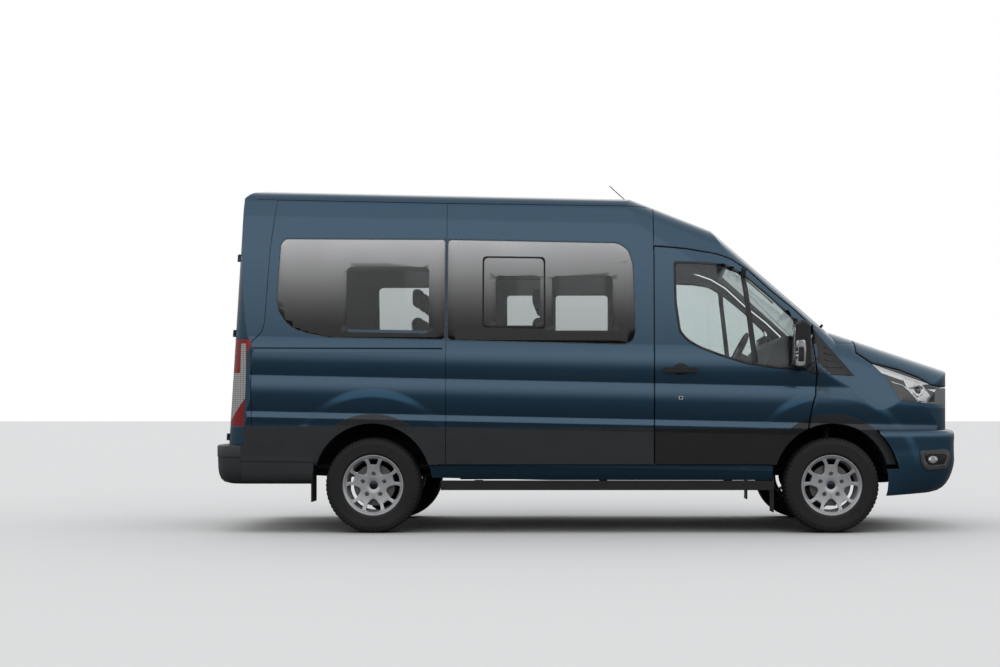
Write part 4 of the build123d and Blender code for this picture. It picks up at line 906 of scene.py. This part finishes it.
lamp_grain.links.new(sum_of(lamp_grain, "MULTIPLY", shiny, 0.9), wanted["Metallic"])
lamp_grain.links.new(raised(lamp_grain, flutes, 0.0004, 0.003), wanted["Normal"])
lamp_lens = finish("headlamp_lens", (0.1, 0.1, 0.1), 0.12, 0.5, Coat_Weight=1.0)
treat(lamp_lens, lamp_grain, {"Bright": (0.62, 0.63, 0.65), "Dark": (0.045, 0.045, 0.048)},
      {"Colour": "Base Color", "Metallic": "Metallic", "Normal": "Normal"})
wear(nodes["headlamps"], lamp_lens)
lamp_chrome = moulding("lamp_chrome", (0.80, 0.81, 0.83), 0.10, 300.0, 0.00002, 0.1, 0.95,
                       Coat_Weight=1.0)
lamp_white = moulding("lamp_reflector", (0.70, 0.71, 0.72), 0.22, 200.0, 0.00008, 0.1, 0.6,
                      Coat_Weight=1.0)
smoke = moulding("smoked_lens", (0.020, 0.020, 0.022), 0.08, 200.0, 0.00002, 0.1, 0.0,
                 Coat_Weight=1.0)
chamber = rounded([(2.258, 1.130), (2.395, 1.082), (2.470, 0.985), (2.448, 0.938),
                   (2.385, 0.945), (2.300, 1.020)], 0.03)
ring = [(2.372 + 0.043 * math.cos(a * math.pi / 16) - 0.006 * math.sin(a * math.pi / 16),
         1.030 + 0.047 * math.sin(a * math.pi / 16)) for a in range(32)]
for side, sign in sides:
    lens = skin_of("headlamps")
    laid(f"lamp_bowl_{side}", [chamber], side, lens, 0.0010, 0.004, lamp_white, "body",
         0.03)
    laid(f"lamp_chamber_{side}", [chamber, grown(chamber, -0.009)], side, lens, 0.0030, 0.004,
         lamp_chrome, "body", 0.03)
    laid(f"lamp_ring_{side}", [ring, grown(ring, -0.010)], side, lens, 0.0036, 0.004,
         lamp_chrome, "body", 0.03)
    laid(f"lamp_eye_{side}", [grown(ring, -0.020)], side, lens, 0.0030, 0.004, smoke, "body",
         0.03)
    laid(f"lamp_blade_{side}", [[(2.178, 1.094), (2.262, 1.066), (2.270, 1.052), (2.186, 1.082)]],
         side, lens, 0.0024, 0.004, lamp_chrome, "body", 0.03)
    laid(f"lamp_slash_{side}", [[(2.262, 1.064), (2.276, 1.060), (2.398, 0.936), (2.380, 0.936)]],
         side, lens, 0.0030, 0.004, lamp_chrome, "body", 0.03)

# ---------------------------------------------------------------- tail lamps
# Tall ribbed lens, red above and below, clear between two slanting lines, with a red edge
# strip towards the flank.
tail, given, wanted = shader_group(
    "tail_lens", {"Red": (0.5, 0.01, 0.01), "Clear": (0.6, 0.6, 0.6), "Dark": (0.02, 0.02, 0.02)},
    {"Colour": "colour", "Normal": "normal"})
where, (px, py, pz, nx, ny, nz) = place_of(tail)
slant = sum_of(tail, "MULTIPLY", sum_of(tail, "SUBTRACT", px, -2.505), 1.4)
above = ranged(tail, px, -2.512, -2.504, 1.150, 1.362)
below = sum_of(tail, "ADD", slant, 0.925)
clear_zone = sum_of(tail, "MULTIPLY", sum_of(tail, "LESS_THAN", pz, above),
                    sum_of(tail, "GREATER_THAN", pz, below))
clear_zone = sum_of(tail, "MULTIPLY", clear_zone, sum_of(tail, "LESS_THAN", px, -2.466))
rows = sum_of(tail, "GREATER_THAN", sum_of(tail, "SINE", sum_of(tail, "MULTIPLY", pz, 420.0)), 0.55)
bars = sum_of(tail, "GREATER_THAN", sum_of(tail, "SINE", sum_of(tail, "MULTIPLY", px, 300.0)), 0.80)
lines = sum_of(tail, "MAXIMUM", rows, bars)
on_lens = sum_of(tail, "MULTIPLY", lines, sum_of(tail, "LESS_THAN", px, -2.466))
base = mixed(tail, clear_zone, given["Red"], given["Clear"])
shade = mixed(tail, sum_of(tail, "MULTIPLY", on_lens, 0.62), base, given["Dark"])
tail.links.new(shade, wanted["Colour"])
tail.links.new(raised(tail, lines, 0.0008, 0.003), wanted["Normal"])
tail_lens = finish("tail_lens", (0.5, 0.01, 0.01), 0.16, 0.0, Coat_Weight=1.0)
treat(tail_lens, tail, {"Red": (0.46, 0.008, 0.010), "Clear": (0.72, 0.72, 0.73),
                        "Dark": (0.05, 0.006, 0.008)},
      {"Colour": "Base Color", "Normal": "Normal"})
wear(nodes["tail_lamps"], tail_lens)
brake_red = moulding("brake_lamp_red", (0.42, 0.008, 0.01), 0.15, 200.0, 0.0001, 0.1, 0.0,
                     Coat_Weight=1.0)
laid("high_brake_lamp", [rounded([(-0.15, 2.345), (0.15, 2.345), (0.14, 2.375), (-0.14, 2.375)], 0.01)],
     "rear", skin_of("rear_frame"), 0.006, 0.01, brake_red, "body")

# ---------------------------------------------------------------- dashboard and steering wheel
# Moulded dash in soft grey plastic; the wheel is foam on a steel ring.
dash_grey = moulding("dash_plastic", (0.10, 0.105, 0.108), 0.6, 500.0, 0.0002)
wheel_black = moulding("wheel_foam", (0.025, 0.025, 0.027), 0.5, 700.0, 0.0001)
wear(nodes["dashboard"], dash_grey)
wear(nodes["steering_wheel"], wheel_black)

# ---------------------------------------------------------------- bumpers
# Thermoplastic skins wrapped round both ends of the body: the front one in body colour with
# fog lamps, the rear one grained, with two wings that run on to the wheel arches.
nose_plan = [
    (0.0, 2.766), (0.22, 2.759), (0.43, 2.737), (0.63, 2.702), (0.80, 2.660), (0.86, 2.636),
    (0.905, 2.600), (0.940, 2.550), (0.962, 2.486), (0.976, 2.400), (0.985, 2.306),
    (0.994, 2.180), (1.000, 2.084),
]
nose_rows = [
    (1.000, 0.075), (1.000, 0.046), (0.996, 0.030), (0.985, 0.016), (0.965, 0.007),
    (0.935, 0.002), (0.880, 0.000), (0.760, 0.003), (0.640, 0.002), (0.500, 0.000),
    (0.400, 0.006), (0.300, 0.018), (0.200, 0.036), (0.120, 0.058), (0.060, 0.084),
    (0.015, 0.116), (0.000, 0.140),
]
tail_plan = [
    (0.0, -2.766), (0.330, -2.761), (0.640, -2.740), (0.750, -2.724), (0.830, -2.704),
    (0.900, -2.672), (0.955, -2.636), (0.985, -2.595), (1.003, -2.540), (1.008, -2.500),
]
tail_rows = [
    (1.000, 0.120), (1.000, 0.014), (0.985, 0.004), (0.950, 0.000), (0.700, 0.000),
    (0.680, 0.004), (0.400, 0.006), (0.250, 0.012), (0.120, 0.026), (0.040, 0.050),
    (0.000, 0.090),
]


def smooth_line(points, steps):
    """Points along a curve through the given ones."""
    line = []
    for i in range(len(points) - 1):
        a, b = Vector(points[max(i - 1, 0)]), Vector(points[i])
        c, d = Vector(points[i + 1]), Vector(points[min(i + 2, len(points) - 1)])
        for k in range(steps):
            t = k / steps
            line.append(0.5 * ((2 * b) + (c - a) * t + (2 * a - 5 * b + 4 * c - d) * t * t
                               + (3 * b - a - 3 * c + d) * t ** 3))
    return line + [Vector(points[-1])]


def wrapped(plan, rows, bottom, top, ease, end):
    """Skin of a bumper: rows of height and setback, carried round half a plan and mirrored."""
    half = smooth_line(plan, 4)
    whole = [Vector((-p.x, p.y)) for p in reversed(half[1:])] + half
    mesh = bmesh.new()
    grid = []
    for i, point in enumerate(whole):
        run = whole[min(i + 1, len(whole) - 1)] - whole[max(i - 1, 0)]
        inward = Vector((-run.y, run.x)).normalized()
        if inward.y * end > 0:
            inward = -inward
        low, share = bottom(point.y), ease(point.y)
        grid.append([mesh.verts.new((point.y + inward.y * d * (share if h < 0.45 else 1),
                                     point.x + inward.x * d * (share if h < 0.45 else 1),
                                     low + (top - low) * h)) for h, d in rows])
    for here, ahead in zip(grid, grid[1:]):
        for i in range(len(rows) - 1):
            mesh.faces.new((here[i], ahead[i], ahead[i + 1], here[i + 1]))
    bmesh.ops.recalc_face_normals(mesh, faces=mesh.faces[:])
    outer = max(mesh.faces, key=lambda f: f.calc_center_median().x * end)
    if outer.normal.x * end < 0:
        bmesh.ops.reverse_faces(mesh, faces=mesh.faces[:])
    return mesh


def arc_loop(x, z, radius, start, stop, steps=40):
    """Points on a circle between two angles in degrees."""
    return [(x + radius * math.cos(math.radians(start + (stop - start) * i / steps)),
             z + radius * math.sin(math.radians(start + (stop - start) * i / steps)))
            for i in range(steps + 1)]


def trimmed(name, mesh, thick, cutters):
    """Mesh of a skin with its thickness, cut by prisms across the body."""
    skin = loose_object(name, mesh)
    shell = skin.modifiers.new("thickness", "SOLIDIFY")
    shell.thickness = thick
    shell.offset = -1
    knives = []
    for i, loop in enumerate(cutters):
        prism = bmesh.new()
        bar_through(prism, loop, -1.3, 1.3)
        bmesh.ops.recalc_face_normals(prism, faces=prism.faces[:])
        knife = loose_object(f"{name}_knife_{i}", prism)
        away = skin.modifiers.new(f"away_{i}", "BOOLEAN")
        away.operation = "DIFFERENCE"
        away.solver = "EXACT"
        away.object = knife
        knives.append(knife)
    done = bmesh.new()
    result = settled(skin)
    done.from_mesh(result)
    for obj in [skin] + knives:
        bpy.data.objects.remove(obj)
    return done


wheel_hole = arc_loop(1.7425, 0.368, 0.402, 0, 360)[:-1]
flare_hole = arc_loop(1.7425, 0.368, 0.4885, math.degrees(math.asin(0.094 / 0.4885)), 90)
flare_hole += [(1.7425, 0.462)]
nose_skin = wrapped(nose_plan, nose_rows, lambda x: 0.268 + max(0.0, x - 2.14) * 0.055, 0.7405,
                    lambda x: min(1.0, max(0.15, (x - 2.1) / 0.45)), 1)
nose_mesh = trimmed("nose", nose_skin, 0.004, [wheel_hole, flare_hole])
nose = put("bumper_front_skin", nose_mesh, paints["sill_paint"], "body", 32)
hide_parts("front_bumper")
tail_skin = wrapped(tail_plan, tail_rows, lambda x: 0.353, 0.632, lambda x: 1.0, -1)
tail_piece = put("bumper_rear_skin", trimmed("tail", tail_skin, 0.004, []), cladding, "body",
                 32)
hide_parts("rear_bumper")
wing_rows = [(0.632, 1.0085), (0.520, 1.0085), (0.515, 1.0045), (0.430, 1.003), (0.395, 0.998),
             (0.370, 0.984), (0.356, 0.962), (0.353, 0.930)]
rear_hole = arc_loop(-1.5575, 0.368, 0.432, 0, 360)[:-1]
for side, sign in sides:
    mesh = bmesh.new()
    columns = []
    for k in range(13):
        x = -2.499 + 0.52 * k / 12
        columns.append([mesh.verts.new((x, sign * y, z)) for z, y in wing_rows])
    for here, ahead in zip(columns, columns[1:]):
        for i in range(len(wing_rows) - 1):
            mesh.faces.new((here[i], here[i + 1], ahead[i + 1], ahead[i]))
    mesh.normal_update()
    if sum(f.normal.y for f in mesh.faces) * sign < 0:
        bmesh.ops.reverse_faces(mesh, faces=mesh.faces[:])
    wing = trimmed(f"wing_{side}", mesh, 0.004, [rear_hole])
    put(f"bumper_wing_{side}", wing, cladding, "body", 32)

# ---------------------------------------------------------------- fog lamps and lower intake
# A grey bezel clipped into each front corner, round a small clear lamp; a black mesh closes
# the intake between them.
bezel_grey = moulding("bezel_grey", (0.10, 0.10, 0.105), 0.4, 900.0, 0.00005)
mesh_black = moulding("intake_mesh", (0.010, 0.010, 0.010), 0.6, 260.0, 0.003)
nose_surface = BVHTree.FromPolygons([v.co.copy() for v in nose.data.vertices],
                                    [list(p.vertices) for p in nose.data.polygons])
bezel = [(2.372, 0.592), (2.560, 0.602), (2.600, 0.585), (2.612, 0.540), (2.585, 0.462),
         (2.420, 0.452), (2.385, 0.500)]
for side, sign in sides:
    loop = rounded(bezel, 0.020)
    laid(f"fog_bezel_{side}", [loop, rounded([(x * 0.72 + 0.6985, z * 0.55 + 0.2385)
                                              for x, z in bezel], 0.014)],
         side, nose_surface, 0.006, 0.010, bezel_grey, "body", 0.03)
    laid(f"fog_well_{side}", [rounded([(x * 0.74 + 0.6487, z * 0.57 + 0.2279)
                                       for x, z in bezel], 0.014)],
         side, nose_surface, 0.0015, 0.004, smoke, "body", 0.03)
    fog = [(2.470 + 0.034 * math.cos(a * math.pi / 12), 0.528 + 0.026 * math.sin(a * math.pi / 12))
           for a in range(24)]
    laid(f"fog_lamp_{side}", [fog], side, nose_surface, 0.004, 0.005, lamp_white, "body",
         0.03)
laid("intake", [rounded([(-0.45, 0.365), (0.45, 0.365), (0.52, 0.555), (-0.52, 0.555)], 0.03)],
     "front", nose_surface, 0.002, 0.004, mesh_black, "body", 0.05)
for i, z in enumerate((0.425, 0.490)):
    laid(f"intake_bar_{i}", [rounded([(-0.47 - i * 0.02, z), (0.47 + i * 0.02, z),
                                      (0.47 + i * 0.02, z + 0.018), (-0.47 - i * 0.02, z + 0.018)],
                                     0.008)],
         "front", nose_surface, 0.010, 0.010, black_trim, "body", 0.05)

# ---------------------------------------------------------------- grille
# Moulded frame with four openings; bright strips sit on the bars between them.
wear(nodes["grille"], black_trim)
grille_skin = skin_of("grille", "front_wings")
for i in range(3):
    z = 0.842 + 0.062 * i
    laid(f"grille_strip_{i}", [rounded([(-0.525, z), (0.525, z), (0.525, z + 0.014),
                                        (-0.525, z + 0.014)], 0.005)],
         "front", grille_skin, 0.004, 0.006, chrome, "body", 0.05)

# ---------------------------------------------------------------- door mirrors
# Black housings with a clear indicator lens on the outer edge and a mirror glass that looks
# back along the flank.
mirror_silver = finish("mirror_silver", (0.75, 0.77, 0.78), 0.02, 1.0)
treat(mirror_silver, moulded, {"Colour": (0.75, 0.77, 0.78), "Roughness": 0.03,
                               "Grain Depth": 0.0, "Dust Height": 0.1}, {"Colour": "Base Color"})
indicator = [(1.450, 1.372), (1.512, 1.378), (1.520, 1.300), (1.512, 1.196), (1.446, 1.190),
             (1.442, 1.290)]
for side, sign in sides:
    trim = skin_of(f"front_door_trim_{side}")
    door = f"front_door_{side}"
    laid(f"mirror_indicator_{side}", [rounded(indicator, 0.014)], side, trim, 0.004, 0.010,
         lamp_white, door, 0.03)
    laid(f"mirror_indicator_core_{side}", [rounded([(1.466, 1.330), (1.504, 1.330),
                                                    (1.504, 1.225), (1.462, 1.225)], 0.010)],
         side, trim, 0.0055, 0.004, smoke, door, 0.03)
    glass_loop = [(sign * 1.075, 1.215), (sign * 1.215, 1.215), (sign * 1.215, 1.470),
                  (sign * 1.075, 1.470)]
    laid(f"mirror_glass_{side}", [rounded(glass_loop, 0.025)], "rear", trim, 0.002, 0.003,
         mirror_silver, door, 0.05)

# ---------------------------------------------------------------- rear door furniture
# Black pull handle on the right leaf, and a bare plate on a black panel on the left one.
tail_doors = skin_of("rear_door_left", "rear_door_right")
plate_white = moulding("plate_white", (0.62, 0.62, 0.61), 0.4, 900.0, 0.00002)
laid("plate_panel", [rounded([(0.040, 0.955), (0.640, 0.955), (0.640, 1.130), (0.040, 1.130)], 0.02)],
     "rear", tail_doors, 0.006, 0.010, black_trim, "rear_door_left")
laid("bare_plate", [rounded([(0.080, 0.975), (0.600, 0.975), (0.600, 1.085), (0.080, 1.085)], 0.008)],
     "rear", tail_doors, 0.009, 0.004, plate_white, "rear_door_left")
laid("rear_handle", [rounded([(-0.210, 1.020), (-0.045, 1.020), (-0.045, 1.075), (-0.210, 1.075)], 0.012)],
     "rear", tail_doors, 0.022, 0.024, black_trim, "rear_door_right")

# ---------------------------------------------------------------- floor
# White to the eye, grey to what mirrors in the body; it takes the soft shadow underneath, deepened by a
# painted shadow from ambient occlusion.
floor_white = finish("studio_floor", (1, 1, 1), 0.9, 0.0, Specular_IOR_Level=0.0)
ft = floor_white.node_tree
path = ft.nodes.new("ShaderNodeLightPath")
plain = sum_of(ft, "MAXIMUM", path.outputs["Is Camera Ray"], path.outputs["Is Transmission Ray"])
# Painted shadow: the floor colour darkens by ambient occlusion under the body, on top of the shadow the
# lights cast.
painted_shadow_occlusion = ft.nodes.new("ShaderNodeAmbientOcclusion")
painted_shadow_occlusion.inputs["Distance"].default_value = 0.7
shade = mixed(ft, ranged(ft, painted_shadow_occlusion.outputs["AO"], 0.15, 0.75), (0.12, 0.12, 0.12), (1, 1, 1))
ft.links.new(mixed(ft, plain, (0.13, 0.13, 0.13), shade),
             ft.nodes["Principled BSDF"].inputs["Base Color"])
bpy.ops.mesh.primitive_plane_add(size=400)
floor = bpy.context.object
floor.name = "floor"
floor.data.materials.append(floor_white)
